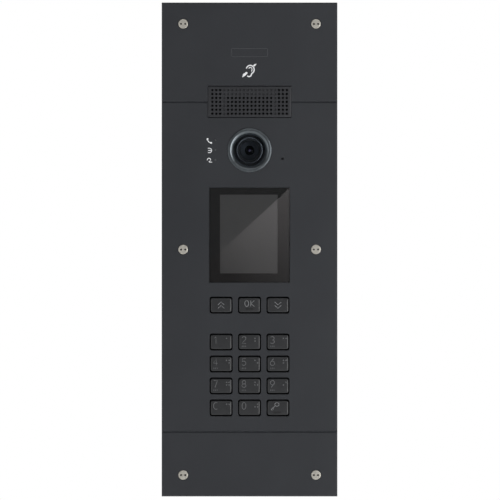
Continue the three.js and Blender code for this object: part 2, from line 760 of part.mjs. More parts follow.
function cameraWindow() {
  return rod(RING_BORE_RADIUS - SEAT, windowFront, windowFront + WINDOW_THICK, 0, 0, 40);
}

function lensBarrel() {
  const bore = LENS_RADIUS + SEAT;
  const lensSeat = barrelFront + LENS_SAG + LENS_EDGE + SEAT;
  const neckBack = barrelShoulder + BARREL_NECK;
  return turned(
    [
      [BARREL_NECK_RADIUS / 2, neckBack],
      [BARREL_NECK_RADIUS / 2, lensSeat],
      [bore, lensSeat],
      [bore, barrelFront + LENS_SAG / 2],
      [BARREL_RADIUS - 1, barrelFront],
      [BARREL_RADIUS, barrelFront],
      [BARREL_RADIUS, barrelShoulder],
      [BARREL_NECK_RADIUS, barrelShoulder],
      [BARREL_NECK_RADIUS, neckBack],
      [BARREL_NECK_RADIUS / 2, neckBack],
    ],
    24,
  );
}

function frontLens() {
  const edgeFront = barrelFront + LENS_SAG;
  const dome = [];
  const steps = 3;
  for (let i = 0; i <= steps; i++) {
    const share = i / steps;
    dome.push([LENS_RADIUS * share, edgeFront - LENS_SAG * (1 - share * share)]);
  }
  return turned([...dome, [LENS_RADIUS, edgeFront + LENS_EDGE], [0, edgeFront + LENS_EDGE]], 24);
}

function cameraHousing() {
  const body = join(
    slab(CAMERA_PLATE, CAMERA_PLATE, cameraPlateFront, cameraPlateBack),
    rod(CAMERA_TUBE_RADIUS, cameraPlateBack - LOOSE, cameraTubeBack, 0, 0, 20),
  );
  return cut(
    body,
    rod(BARREL_RADIUS + SEAT, cameraPlateFront - LOOSE, cameraPlateBack, 0, 0, 24),
    rod(BARREL_NECK_RADIUS + SEAT, cameraPlateBack - LOOSE, cameraTubeBack + LOOSE, 0, 0, 20),
  );
}

function sensorBoard() {
  const front = cameraTubeBack + SEAT;
  return join(
    slab(SENSOR_BOARD, SENSOR_BOARD, front, front + BOARD_THICK),
    slab(SENSOR_SIZE, SENSOR_SIZE, front - 2, front + LOOSE),
  );
}

function microphoneBoot() {
  const outer = MIC_CAPSULE_RADIUS + SEAT + BOOT_WALL;
  const capsuleFront = frontBoardFace - SEAT - MIC_CAPSULE_THICK;
  return cut(
    rod(outer, SEAT, frontBoardFace - SEAT, 0, 0, 16),
    rod(MIC_CAPSULE_RADIUS + SEAT, capsuleFront - SEAT, frontBoardFace, 0, 0, 16),
    rod(MIC_HOLE_RADIUS, 0, capsuleFront, 0, 0, 10),
  );
}

function microphoneCapsule() {
  const back = frontBoardFace - SEAT;
  return rod(MIC_CAPSULE_RADIUS, back - MIC_CAPSULE_THICK, back, 0, 0, 16);
}

function lightPlaces() {
  const middle = (LIGHT_COUNT - 1) / 2;
  return Array.from({ length: LIGHT_COUNT }, (_, i) => cameraZ + (middle - i) * LIGHT_PITCH);
}

function statusLightGuide() {
  const places = lightPlaces();
  const half = LIGHT_BAR_WIDTH / 2;
  const stubBack = frontBoardFace - LED_HEIGHT - SEAT;
  let guide = block(-half, half, SEAT, flangeBack, places.at(-1) - half, places[0] + half);
  for (const z of places) {
    guide = join(
      guide,
      rod(LIGHT_PIN_RADIUS, plateFront, SEAT + LOOSE, 0, z, 8),
      rod(LIGHT_STUB_RADIUS, flangeBack - LOOSE, stubBack, 0, z, 10),
    );
  }
  return guide;
}

// ---------------------------------------------------------------- display

function displayMask() {
  return frame(
    glassWidth, glassHeight, ACTIVE_WIDTH, ACTIVE_HEIGHT,
    maskBack - MASK_THICK, maskBack, ACTIVE_SHIFT_X, ACTIVE_SHIFT_Z,
  );
}

function backlightTray() {
  const [width, height] = [lcdWidth + 2 * TRAY_WALL, lcdHeight + 2 * TRAY_WALL];
  return cut(
    slab(width, height, SEAT, frontBoardFace - SEAT),
    slab(lcdWidth + LOOSE, lcdHeight + LOOSE, 0, trayPocketFloor),
  );
}

// ---------------------------------------------------------------- keys and keypad mat

function key() {
  const capWidth = KEY_OPENING_WIDTH - 2 * KEY_SIDE_GAP;
  const capHeight = KEY_OPENING_HEIGHT - 2 * KEY_END_GAP;
  const cap = roundedRectangle(capWidth, capHeight, KEY_OPENING_CORNER - KEY_SIDE_GAP);
  return join(
    bevelledPrism(cap, plateFront - KEY_PROUD, SEAT + LOOSE, KEY_BEVEL, 2 * KEY_OPENING_WIDTH),
    slab(keyFlangeWidth, keyFlangeHeight, SEAT, keyFlangeBack),
  );
}

function keypadMat() {
  let mat = block(-matHalfWidth, matHalfWidth, matFront, matBack, matBottom, matTop);
  const dome = turned(
    [
      [0, domeFront],
      [DOME_RADIUS, domeFront],
      [DOME_RADIUS, matFront - DOME_SKIRT],
      [DOME_RADIUS + DOME_SKIRT, matFront],
      [DOME_RADIUS + DOME_SKIRT, matFront + LOOSE],
      [0, matFront + LOOSE],
    ],
    6,
  );
  const hollow = rod(PILL_RADIUS, domeFront + DOME_SKIRT, matBack + LOOSE, 0, 0, 4);
  for (const { x, z } of keys) mat = join(mat, dome.translate([x, 0, z]));
  for (const { x, z } of keys) mat = cut(mat, hollow.translate([x, 0, z]));
  return mat;
}

// ---------------------------------------------------------------- boards and rear housing

function frontBoard() {
  const half = frontBoardHalfWidth;
  let board = block(-half, half, frontBoardFace, frontBoardBack, frontBoardBottom, boardTop);
  board = cut(
    board,
    rod(CAMERA_TUBE_RADIUS + 2 * LOOSE, frontBoardFace - LOOSE, frontBoardBack + LOOSE, 0, cameraZ, 24),
  );
  const led = slab(LED_SIZE, LED_SIZE, frontBoardFace - LED_HEIGHT, frontBoardFace + LOOSE, lightX);
  for (const z of lightPlaces()) board = join(board, led.translate([0, 0, z]));
  return join(
    board,
    slab(RIBBON_WIDTH + 2, 2 * CONNECTOR_HEIGHT, frontBoardBack - LOOSE, frontBoardBack + CONNECTOR_HEIGHT,
      RIBBON_X, ribbonZ),
  );
}

function mainBoard() {
  const half = mainBoardHalfWidth;
  const top = mainBoardFace + LOOSE; // components sink this far into the board
  let board = block(-half, half, mainBoardFace, mainBoardBack, mainBoardBottom, boardTop - HOUSING_LEDGE);
  board = join(
    board,
    slab(RIBBON_WIDTH + 2, 2 * CONNECTOR_HEIGHT, mainBoardFace - CONNECTOR_HEIGHT, top, RIBBON_X, ribbonZ),
    slab(32, 32, mainBoardFace - 3, top, -18, displayZ), // shielded processor
    slab(16, 12, mainBoardFace - 8, top, 24, displayZ), // line transformer
    slab(19, 15, mainBoardFace - 11, top, -26, padTopZ), // door lock relay
    rod(4, mainBoardFace - 10, top, 14, padTopZ, 12), // smoothing capacitors
    rod(4, mainBoardFace - 10, top, 26, padTopZ, 12),
  );
  const base = slab(TRIMMER_BASE, TRIMMER_BASE, mainBoardBack - LOOSE, trimmerBaseBack, 0, trimmerZ);
  for (const x of [-TRIMMER_X, TRIMMER_X]) board = join(board, base.translate([x, 0, 0]));
  return board;
}

function trimmerRotor() {
  const front = trimmerBaseBack + SEAT;
  const back = front + TRIMMER_ROTOR_THICK;
  return cut(
    rod(TRIMMER_RADIUS, front, back, 0, 0, 16),
    slab(2 * TRIMMER_RADIUS - 1, TRIMMER_SLOT, back - 1, back + LOOSE),
  );
}

const terminalWidth = (ways) => ways * TERMINAL_PITCH + 1;

// A screw terminal block, with wire holes in its underside and screws in its back.
function terminalBlock(ways) {
  const front = mainBoardBack + SEAT;
  const back = front + TERMINAL_LENGTH;
  let body = slab(terminalWidth(ways), TERMINAL_HEIGHT, front, back);
  const half = WIRE_HOLE / 2;
  const wireHoleFront = back - WIRE_HOLE - half;
  const wireHole = block(
    -half, half, wireHoleFront, wireHoleFront + WIRE_HOLE, -TERMINAL_HEIGHT / 2 - LOOSE, 0,
  );
  const screwRecess = rod(TERMINAL_SCREW_RADIUS, back - 1, back + LOOSE, 0, TERMINAL_HEIGHT / 4, 8);
  for (let way = 0; way < ways; way++) {
    const x = (way - (ways - 1) / 2) * TERMINAL_PITCH;
    body = cut(body, wireHole.translate([x, 0, 0]), screwRecess.translate([x, 0, 0]));
  }
  return body;
}

const busTerminal = { name: "bus_terminal_block", ways: 6, x: -20 };
const lockTerminal = { name: "lock_terminal_block", ways: 4, x: 20 };

// The ribbon between the two boards, drawn in the plane of y and z and as wide as the cable along X.
function ribbonCable() {
  const [start, end] = [frontBoardBack + CONNECTOR_HEIGHT + SEAT, mainBoardFace - CONNECTOR_HEIGHT - SEAT];
  const steps = 12;
  const side = (offset) =>
    Array.from({ length: steps + 1 }, (_, i) => {
      const share = i / steps;
      const sway = RIBBON_SAG * Math.sin(Math.PI * share) ** 2;
      return new THREE.Vector2(start + (end - start) * share, sway + offset);
    });
  const shape = new THREE.Shape([...side(-RIBBON_THICK / 2), ...side(RIBBON_THICK / 2).reverse()]);
  const geometry = new THREE.ExtrudeGeometry(shape, { depth: RIBBON_WIDTH, bevelEnabled: false });
  // The shape's x becomes y and its y becomes z.
  const across = new THREE.Matrix4().set(0, 0, 1, -RIBBON_WIDTH / 2, 1, 0, 0, 0, 0, 1, 0, 0, 0, 0, 0, 1);
  return solid(geometry.applyMatrix4(across));
}

function lugPlaces() {
  return [-1, 1].flatMap((side) => [-LUG_Z, LUG_Z].map((z) => [side * lugX, z]));
}

function rearHousing() {
  const w = housingHalfWidth;
  const [top, bottom] = [housingTop, housingBottom];
  const cavity = (inset, y0, y1) => block(-w + inset, w - inset, y0, y1, bottom + inset, top - inset);
  let housing = block(-w, w, housingRim, floorBack, bottom, top);
  for (const [x, z] of lugPlaces()) {
    const reach = [x - Math.sign(x) * LUG_REACH, x + (Math.sign(x) * LUG_REACH) / 2].sort((a, b) => a - b);
    housing = join(
      housing,
      block(...reach, housingRim, housingRim + LUG_THICK, z - LUG_WIDTH / 2, z + LUG_WIDTH / 2),
    );
  }
  housing = cut(
    housing,
    cavity(HOUSING_WALL, housingRim - LOOSE, frontBoardBack + SEAT),
    cavity(HOUSING_WALL + HOUSING_LEDGE, frontBoardBack, mainBoardBack + SEAT),
    cavity(HOUSING_WALL + 2 * HOUSING_LEDGE, mainBoardBack, floorFace),
  );
  const [clipBack, ledgeWall] = [mainBoardFace - SEAT, w - HOUSING_WALL - HOUSING_LEDGE];
  for (const side of [-1, 1]) {
    for (const z of [-CLIP_Z, CLIP_Z]) {
      const reach = [side * (ledgeWall + LOOSE), side * (ledgeWall - CLIP_REACH)].sort((a, b) => a - b);
      housing = join(
        housing, block(...reach, clipBack - CLIP_THICK, clipBack, z - CLIP_WIDTH / 2, z + CLIP_WIDTH / 2),
      );
    }
  }
  const support = tube(
    supportRadius, supportRadius - SUPPORT_WALL, speakerRimBack + SEAT, floorFace + LOOSE, 24,
  ).translate([0, 0, GRILLE_Z]);
  housing = join(housing, support);
  for (const [x, z] of lugPlaces()) {
    housing = cut(
      housing, rod(LUG_SCREW_RADIUS + SEAT, housingRim - LOOSE, housingRim + LUG_THICK + LOOSE, x, z, 12),
    );
  }
  for (const { ways, x } of [busTerminal, lockTerminal]) {
    housing = cut(
      housing,
      slab(terminalWidth(ways) + 2 * LOOSE, TERMINAL_HEIGHT + 2 * LOOSE,
        floorFace - LOOSE, floorBack + LOOSE, x, terminalZ),
    );
  }
  const trimmerHole = rod(TRIMMER_RADIUS + LOOSE, floorFace - LOOSE, floorBack + LOOSE, 0, trimmerZ, 12);
  for (const x of [-TRIMMER_X, TRIMMER_X]) housing = cut(housing, trimmerHole.translate([x, 0, 0]));
  return housing;
}

function housingSeal() {
  const outline = (inset, y0, y1) =>
    block(
      inset - housingHalfWidth, housingHalfWidth - inset, y0, y1, housingBottom + inset, housingTop - inset,
    );
  const back = SEAT + SEAL_THICK;
  return cut(outline(0, SEAT, back), outline(HOUSING_WALL, SEAT - LOOSE, back + LOOSE));
}

function housingScrew() {
  const headFront = housingRim + LUG_THICK + SEAT;
  return join(
    rod(LUG_SCREW_RADIUS, -LUG_SCREW_BITE, headFront + LOOSE, 0, 0, 8),
    rod(LUG_SCREW_HEAD, headFront, headFront + LUG_SCREW_HEAD_THICK, 0, 0, 12),
  );
}

// ---------------------------------------------------------------- assembly

const panel = new THREE.Group();
const unit = subgroup(panel, 0, plateBackY, 0); // everything that is counted from the faceplate's back

add(unit, "faceplate", faceplate(), coatedMetal);
add(unit, "wall_gasket", wallGasket(), rubber);
const screwSolid = securityScrew();
for (const { name, x, z } of screws) add(unit, name, screwSolid, screwSteel, x, 0, z);

add(panel, "wall_box", wallBox(), zincSteel);
const bottomEntry = subgroup(panel, 0, BOX_DEPTH / 2, -boxHalfHeight);
bottomEntry.rotation.x = -Math.PI / 2;
add(bottomEntry, "cable_grommet", cableGrommet(), rubber);

const speaker = subgroup(unit, 0, 0, GRILLE_Z);
add(speaker, "speaker_grille", speakerGrille(), blackPlastic);
add(speaker, "grille_membrane", grilleMembrane(), foam);
add(speaker, "speaker_gasket", speakerGasket(), foam);
add(speaker, "speaker_frame", speakerFrame(), ferrite);
add(speaker, "speaker_cone", speakerCone(), paper);
add(speaker, "speaker_magnet", speakerMagnet(), ferrite);
add(speaker, "hearing_loop_coil", hearingLoopCoil(), copper);

const camera = subgroup(unit, 0, 0, cameraZ);
add(camera, "camera_ring", cameraRing(), ringMetal);
add(camera, "camera_window", cameraWindow(), clearGlass);
add(camera, "camera_lens_barrel", lensBarrel(), blackPlastic);
add(camera, "camera_front_lens", frontLens(), clearGlass);
add(camera, "camera_housing", cameraHousing(), blackPlastic);
add(camera, "camera_sensor_board", sensorBoard(), boardGreen);

add(unit, "microphone_boot", microphoneBoot(), rubber, micX, 0, micZ);
add(unit, "microphone_capsule", microphoneCapsule(), ferrite, micX, 0, micZ);
add(unit, "status_light_guide", statusLightGuide(), lightPipe, lightX, 0, 0);

const display = subgroup(unit, 0, 0, displayZ);
add(display, "display_glass", slab(glassWidth, glassHeight, glassFront, glassBack), clearGlass);
add(display, "display_mask", displayMask(), blackPrint);
add(
  display, "lcd_panel", slab(lcdWidth, lcdHeight, glassSeat, glassSeat + LCD_THICK), lcdGlass,
  ACTIVE_SHIFT_X, 0, ACTIVE_SHIFT_Z,
);
add(display, "lcd_backlight_tray", backlightTray(), blackPlastic, ACTIVE_SHIFT_X, 0, ACTIVE_SHIFT_Z);

const keySolid = key();
for (const { name, x, z } of keys) add(unit, name, keySolid, keyPlastic, x, 0, z);
add(unit, "keypad_mat", keypadMat(), silicone);

add(unit, "front_board", frontBoard(), boardGreen);
add(unit, "main_board", mainBoard(), boardGreen);
add(unit, "ribbon_cable", ribbonCable(), ribbonWhite, RIBBON_X, 0, ribbonZ);
for (const { name, ways, x } of [busTerminal, lockTerminal]) {
  add(unit, name, terminalBlock(ways), terminalGreen, x, 0, terminalZ);
}
add(unit, "speaker_volume_trimmer", trimmerRotor(), trimmerBlue, -TRIMMER_X, 0, trimmerZ);
add(unit, "microphone_volume_trimmer", trimmerRotor(), trimmerBlue, TRIMMER_X, 0, trimmerZ);

add(unit, "rear_housing", rearHousing(), blackPlastic);
add(unit, "housing_seal", housingSeal(), rubber);
const lugScrew = housingScrew();
lugPlaces().forEach(([x, z], i) => add(unit, `housing_screw_${i + 1}`, lugScrew, zincSteel, x, 0, z));

export default panel;
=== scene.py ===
"""The looks of the door intercom panel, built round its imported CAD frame. Lengths are in metres."""
import math

import bmesh
import bpy
from mathutils import Matrix, Vector


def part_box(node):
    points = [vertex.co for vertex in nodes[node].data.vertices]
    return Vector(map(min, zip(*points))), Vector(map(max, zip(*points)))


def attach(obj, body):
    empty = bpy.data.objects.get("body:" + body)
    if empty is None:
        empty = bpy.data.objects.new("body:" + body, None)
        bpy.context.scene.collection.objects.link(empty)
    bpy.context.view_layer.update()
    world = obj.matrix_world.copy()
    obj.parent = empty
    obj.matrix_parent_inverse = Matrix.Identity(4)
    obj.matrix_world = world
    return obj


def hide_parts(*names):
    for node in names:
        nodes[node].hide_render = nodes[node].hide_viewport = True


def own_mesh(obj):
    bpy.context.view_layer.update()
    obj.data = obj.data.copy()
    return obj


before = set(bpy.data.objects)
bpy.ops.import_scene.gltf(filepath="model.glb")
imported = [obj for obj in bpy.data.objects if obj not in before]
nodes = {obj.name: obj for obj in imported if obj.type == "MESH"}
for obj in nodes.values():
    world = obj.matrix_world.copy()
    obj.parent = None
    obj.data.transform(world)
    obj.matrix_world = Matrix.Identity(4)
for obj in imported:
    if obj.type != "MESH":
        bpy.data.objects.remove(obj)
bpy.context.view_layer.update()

MM = 0.001
PANEL = "panel"


# ---------------------------------------------------------------- places, all from the frame

def centre_of(node):
    low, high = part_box(node)
    return (low + high) / 2


def size_of(node):
    low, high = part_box(node)
    return high - low


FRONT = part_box("faceplate")[0].y  # the faceplate's front surface
KEY_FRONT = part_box("key_1")[0].y
KEY_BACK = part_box("key_1")[1].y
camera_centre = centre_of("camera_ring")
grille_centre = centre_of("speaker_grille")

KEY_GLYPHS = {
    "key_scroll_up": "up", "key_ok": "ok", "key_scroll_down": "down",
    "key_clear": "c", "key_unlock": "key",
    **{f"key_{d}": str(d) for d in range(10)},
}


# ---------------------------------------------------------------- materials

NOISE_RANGE = (0.3, 0.7)  # where nearly all of a noise's values lie


def linear(colour):
    """An sRGB colour, each channel from 0 to 255, as a linear RGBA colour."""
    def channel(v):
        v /= 255
        return v / 12.92 if v <= 0.04045 else ((v + 0.055) / 1.055) ** 2.4
    return (*(channel(v) for v in colour), 1.0)


class Graph:
    """The node tree of a material or a world, with short ways to add and join nodes."""

    def __init__(self, owner, output="ShaderNodeOutputMaterial"):
        owner.use_nodes = True
        self.owner = owner
        self.tree = owner.node_tree
        self.tree.nodes.clear()
        self.output = self.add(output)
        self.coordinates = self.add("ShaderNodeTexCoord").outputs
        self.place = self.coordinates["Object"]

    def put(self, socket, value):
        """Links value to an input if it is another node's output, and otherwise sets the input to it."""
        if isinstance(value, bpy.types.NodeSocket):
            self.tree.links.new(value, socket)
        else:
            socket.default_value = value

    def add(self, kind, inputs=None, **settings):
        node = self.tree.nodes.new(kind)
        for key, value in settings.items():
            setattr(node, key, value)
        for socket, value in (inputs or {}).items():
            self.put(node.inputs[socket], value)
        return node

    def end(self, shader):
        """Joins a shader to the output, and gives back the finished material or world."""
        self.put(self.output.inputs["Surface"], shader.outputs[0])
        return self.owner

    def noise(self, grain, detail=2.0, roughness=0.5, place=None):
        """Noise whose blotches are about grain metres across."""
        inputs = {"Vector": place or self.place, "Scale": 1 / grain, "Detail": detail, "Roughness": roughness}
        return self.add("ShaderNodeTexNoise", inputs).outputs["Fac"]

    def spread(self, source, low, high, start=0.0, end=1.0):
        """Maps source from start..end to low..high."""
        inputs = {"Value": source, "From Min": start, "From Max": end, "To Min": low, "To Max": high}
        return self.add("ShaderNodeMapRange", inputs).outputs["Result"]

    def math(self, operation, a, b):
        return self.add("ShaderNodeMath", {0: a, 1: b}, operation=operation).outputs[0]

    def vector(self, operation, *values):
        return self.add("ShaderNodeVectorMath", dict(enumerate(values)), operation=operation).outputs

    def blend(self, a, share, b):
        """The sum of share of a and the rest of b."""
        return self.math("ADD", self.math("MULTIPLY", a, share), self.math("MULTIPLY", b, 1 - share))

    def mix(self, share, a, b):
        """A colour from a, where share is 0, to b, where it is 1."""
        return self.add("ShaderNodeMix", {0: share, 6: a, 7: b}, data_type="RGBA").outputs[2]

    def worn_edges(self, radius):
        """1 along sharp edges, 0 on open surfaces."""
        rounded = self.add("ShaderNodeBevel", {"Radius": radius}, samples=4).outputs["Normal"]
        flat = self.add("ShaderNodeNewGeometry").outputs["Normal"]
        alike = self.vector("DOT_PRODUCT", rounded, flat)["Value"]
        return self.spread(self.math("SUBTRACT", 1.0, alike), 0.0, 1.0, 0.02, 0.25)

    def shade(self, colour, roughness, relief=None, metallic=0.0, **fixed):
        """Ends the tree in a Principled shader. relief is the height and depth of its bump, in metres.

        fixed holds the shader's uniform numbers.
        """
        inputs = {"Base Color": colour, "Roughness": roughness, "Metallic": metallic}
        inputs.update((key.replace("_", " "), value) for key, value in fixed.items())
        if relief:
            bump = self.add("ShaderNodeBump", {"Height": relief[0], "Distance": relief[1], "Strength": 1.0})
            inputs["Normal"] = bump.outputs["Normal"]
        return self.end(self.add("ShaderNodeBsdfPrincipled", inputs))


def material_graph(name):
    return Graph(bpy.data.materials.new(name))


def surface(name, colour, tint, rough, grain, relief, metallic=0.0, cloud=20, edge=None, **fixed):
    """A moulded, coated or cast surface, whose colour wanders between colour and tint in clouds.

    A fine grain roughens and bumps it, and where edge is a colour its edges are lighter, partly worn and
    partly as a painted highlight. cloud, grain and relief are in mm.
    """
    graph = material_graph(name)
    clouds = graph.noise(cloud * MM, 4, 0.6)
    fine = graph.noise(grain * MM, 3, 0.65)
    base = graph.mix(graph.spread(clouds, 0, 1, *NOISE_RANGE), linear(colour), linear(tint))
    specks = graph.math("MULTIPLY", graph.spread(fine, 0, 1, 0.62, 0.8), 0.35)
    base = graph.mix(specks, base, (*(min(1.0, 1.5 * c) for c in linear(tint)[:3]), 1.0))
    # Lighter edges in patches: partly worn, partly a painted highlight along the edges.
    if edge is not None:
        patches = graph.spread(graph.noise(3 * MM, 4), 0, 1, 0.4, 0.65)
        wear_and_sheen = graph.math("MULTIPLY", graph.worn_edges(0.5 * MM), patches)
        base = graph.mix(wear_and_sheen, base, linear(edge))
    roughness = graph.spread(graph.blend(clouds, 0.5, fine), *rough, *NOISE_RANGE)
    return graph.shade(base, roughness, (fine, relief * MM), metallic, **fixed)


def brushed(name, colour, tint, rough):
    """A metal with fine straight lines along X."""
    graph = material_graph(name)
    stretched = graph.add("ShaderNodeMapping", {"Vector": graph.place, "Scale": (0.04, 1.0, 1.0)})
    lines = graph.noise(0.25 * MM, 5, 0.7, stretched.outputs["Vector"])
    base = graph.mix(graph.spread(lines, 0, 1, *NOISE_RANGE), linear(colour), linear(tint))
    roughness = graph.spread(graph.blend(lines, 0.6, graph.noise(6 * MM, 3)), *rough, *NOISE_RANGE)
    return graph.shade(base, roughness, (lines, 0.01 * MM), 1.0)


def turned_metal(name, colour, tint, rough, metallic=1.0):
    """A metal with fine circles about the camera's axis, as a lathe leaves."""
    graph = material_graph(name)
    off = graph.vector("SUBTRACT", graph.place, tuple(camera_centre))["Vector"]
    flat = graph.vector("MULTIPLY", off, (1, 0, 1))["Vector"]
    radius = graph.add("ShaderNodeCombineXYZ", {"X": graph.vector("LENGTH", flat)["Value"]})
    lines = graph.noise(0.12 * MM, 3, 0.6, radius.outputs["Vector"])
    clouds = graph.noise(4 * MM, 3)
    base = graph.mix(graph.spread(clouds, 0, 1, *NOISE_RANGE), linear(colour), linear(tint))
    roughness = graph.spread(graph.blend(lines, 0.7, clouds), *rough, *NOISE_RANGE)
    return graph.shade(base, roughness, (lines, 0.004 * MM), metallic)


def pane(name, tint, ior, smear):
    """Clear polished glass: tinted, with a Fresnel reflection and faint smears."""
    graph = material_graph(name)
    facing = graph.add("ShaderNodeLayerWeight", {"Blend": 0.5}).outputs["Facing"]
    straight = ((ior - 1) / (ior + 1)) ** 2
    share = graph.spread(graph.math("POWER", facing, 5.0), straight, 1.0)
    clouds = graph.noise(9 * MM, 5, 0.6)
    gloss = graph.add("ShaderNodeBsdfGlossy", {"Roughness": graph.spread(clouds, 0.0, smear, 0.35, 0.7)})
    tints = graph.mix(clouds, (*tint, 1), (*(0.97 * c for c in tint), 1))
    clear = graph.add("ShaderNodeBsdfTransparent", {"Color": tints})
    return graph.end(graph.add("ShaderNodeMixShader", {0: share, 1: clear.outputs[0], 2: gloss.outputs[0]}))


def banded(name, colour, tint, rough, pitch, axis, metallic=0.0):
    """Fine parallel bands across one axis, such as a winding or a flat cable's wires. pitch is in mm."""
    graph = material_graph(name)
    inputs = {"Vector": graph.place, "Scale": 0.314 / (pitch * MM), "Distortion": 0.2, "Detail": 1.0}
    bands = graph.add("ShaderNodeTexWave", inputs, bands_direction=axis).outputs["Fac"]
    roughness = graph.spread(graph.noise(5 * MM, 4), *rough, *NOISE_RANGE)
    base = graph.mix(bands, linear(colour), linear(tint))
    return graph.shade(base, roughness, (bands, 0.05 * MM), metallic)


def circuit(name):
    """Green solder mask over long copper tracks, with small bare pads."""
    graph = material_graph(name)
    upright = graph.add("ShaderNodeMapping", {"Vector": graph.place, "Rotation": (math.pi / 2, 0, 0)})
    inputs = {
        "Vector": upright.outputs["Vector"], "Scale": 1 / (9 * MM), "Brick Width": 3.3, "Row Height": 0.13,
        "Mortar Size": 0.018,
    }
    steps = {"offset": 0.37, "offset_frequency": 3, "squash": 1.6, "squash_frequency": 5}
    tracks = graph.add("ShaderNodeTexBrick", inputs, **steps).outputs["Fac"]
    pad_inputs = {"Vector": graph.place, "Scale": 1 / (4 * MM)}
    pads = graph.add("ShaderNodeTexVoronoi", pad_inputs).outputs["Distance"]
    mask = graph.mix(tracks, linear((22, 76, 46)), linear((34, 98, 58)))
    base = graph.mix(graph.spread(pads, 1, 0, 0.1, 0.14), mask, linear((186, 176, 140)))
    return graph.shade(base, graph.spread(graph.noise(3 * MM), 0.25, 0.5), (tracks, 0.03 * MM))


def galvanised(name):
    """Zinc-coated sheet, with crystals of slightly different greys."""
    graph = material_graph(name)
    swirl = graph.add("ShaderNodeTexNoise", {"Vector": graph.place, "Scale": 1 / (12 * MM)}).outputs["Color"]
    warped = graph.add("ShaderNodeMix", {0: 0.006, 4: graph.place, 5: swirl}, data_type="VECTOR").outputs[1]
    crystals = graph.add("ShaderNodeTexVoronoi", {"Vector": warped, "Scale": 1 / (7 * MM)})
    shade = graph.add("ShaderNodeSeparateColor", {"Color": crystals.outputs["Color"]}).outputs["Red"]
    fine = graph.noise(0.6 * MM, 4, 0.7)
    stain = graph.spread(graph.noise(40 * MM, 5, 0.6), 0, 0.4, 0.5, 0.75)
    base = graph.mix(shade, linear((134, 138, 141)), linear((158, 162, 165)))
    base = graph.mix(stain, base, linear((116, 118, 120)))
    base = graph.mix(graph.math("MULTIPLY", graph.worn_edges(0.8 * MM), 0.6), base, linear((206, 208, 210)))
    roughness = graph.spread(graph.blend(shade, 0.6, fine), 0.34, 0.6)
    return graph.shade(base, roughness, (fine, 0.02 * MM), 0.75)


def unlit_display(name):
    """A dark grey polariser with a faint grid of picture cells under a smooth surface."""
    graph = material_graph(name)
    cell_inputs = {"Vector": graph.place, "Scale": 1 / (0.22 * MM)}
    cells = graph.add("ShaderNodeTexChecker", cell_inputs).outputs["Fac"]
    clouds = graph.noise(30 * MM, 2)
    base = graph.mix(cells, linear((69, 69, 69)), linear((73, 73, 73)))
    base = graph.mix(graph.spread(clouds, 0, 0.2), base, linear((66, 66, 67)))
    return graph.shade(base, graph.spread(clouds, 0.0, 0.02), Specular_IOR_Level=0.5)


def coated_lens(name, colour, tint, glow):
    """A lens under a clear coat. A dark colour is the lens's own; a bright coloured one is a painted glint of
    an anti-reflection coating.
    """
    graph = material_graph(name)
    clouds = graph.noise(3 * MM, 3)
    base = graph.mix(clouds, linear(colour), linear(tint))
    fixed = {"Specular_IOR_Level": glow, "Coat_Weight": glow / 2, "Coat_Roughness": 0.02}
    return graph.shade(base, graph.spread(clouds, 0.03, 0.09), **fixed)


# Its lighter edges are partly worn and partly a painted highlight along the plate's edges.
coat = surface(
    "anthracite_coat", (51, 53, 57), (54, 56, 60), (0.38, 0.48), 0.32, 0.01,
    metallic=0.2, cloud=90, edge=(96, 98, 102), Specular_IOR_Level=0.5,
)
black = surface(
    "black_plastic", (40, 41, 44), (44, 45, 48), (0.45, 0.6), 0.25, 0.015, cloud=15, edge=(70, 71, 74),
)
grille_black = surface("grille_plastic", (38, 39, 43), (42, 43, 47), (0.5, 0.65), 0.3, 0.012, cloud=12)
housing_black = surface(
    "housing_plastic", (34, 35, 37), (40, 41, 43), (0.5, 0.68), 0.5, 0.03, cloud=30, edge=(58, 59, 61),
)
rubber = surface("black_rubber", (26, 26, 28), (34, 34, 36), (0.72, 0.9), 0.35, 0.03, cloud=8)
silicone = surface("grey_silicone", (40, 41, 44), (46, 47, 50), (0.6, 0.75), 0.5, 0.01)
foam = surface("open_foam", (28, 28, 28), (40, 40, 40), (0.9, 1.0), 0.6, 0.25, cloud=2)
# Its lighter edges are partly worn and partly a painted highlight where the key edges catch light.
key_plastic = surface(
    "key_plastic", (40, 41, 43), (44, 45, 47), (0.34, 0.44), 0.22, 0.008,
    cloud=6, edge=(84, 85, 88), Specular_IOR_Level=0.55,
)
legend_grey = surface("legend_plastic", (122, 123, 125), (134, 135, 137), (0.35, 0.5), 0.2, 0.004, cloud=1)
digit_grey = surface("digit_plastic", (100, 101, 103), (112, 113, 115), (0.35, 0.5), 0.2, 0.004, cloud=1)
# The keys' flanges and skirts are near black as painted shade in the gaps round the keys.
skirt_painted_shade = surface(
    "skirt_painted_gap_shade", (9, 9, 10), (13, 13, 14), (0.7, 0.85), 0.25, 0.01, cloud=4, Specular_IOR_Level=0.15,
)
# The tactile bars are raised plastic, coloured darker than the keys as their painted shadow.
bar_painted_shadow = surface("bar_plastic_painted_shadow", (24, 24, 26), (30, 30, 32), (0.4, 0.55), 0.2, 0.004, cloud=1)
print_white = surface("white_print", (238, 240, 242), (250, 251, 252), (0.5, 0.7), 0.2, 0.004, cloud=1.5)
outline_grey = surface("name_outline", (80, 81, 85), (88, 89, 93), (0.4, 0.55), 0.2, 0.004, cloud=2)
mask_black = surface(
    "mask_print", (20, 20, 20), (24, 24, 24), (0.5, 0.6), 0.15, 0.001, cloud=9, Specular_IOR_Level=0.0,
)
cone_paper = surface("cone_paper", (46, 43, 40), (58, 54, 50), (0.8, 0.95), 0.6, 0.06, cloud=3)
dull_metal = brushed("dull_metal", (112, 114, 118), (134, 136, 140), (0.38, 0.55))
terminal = surface("terminal_plastic", (38, 128, 66), (52, 146, 80), (0.4, 0.55), 0.3, 0.01, cloud=4)
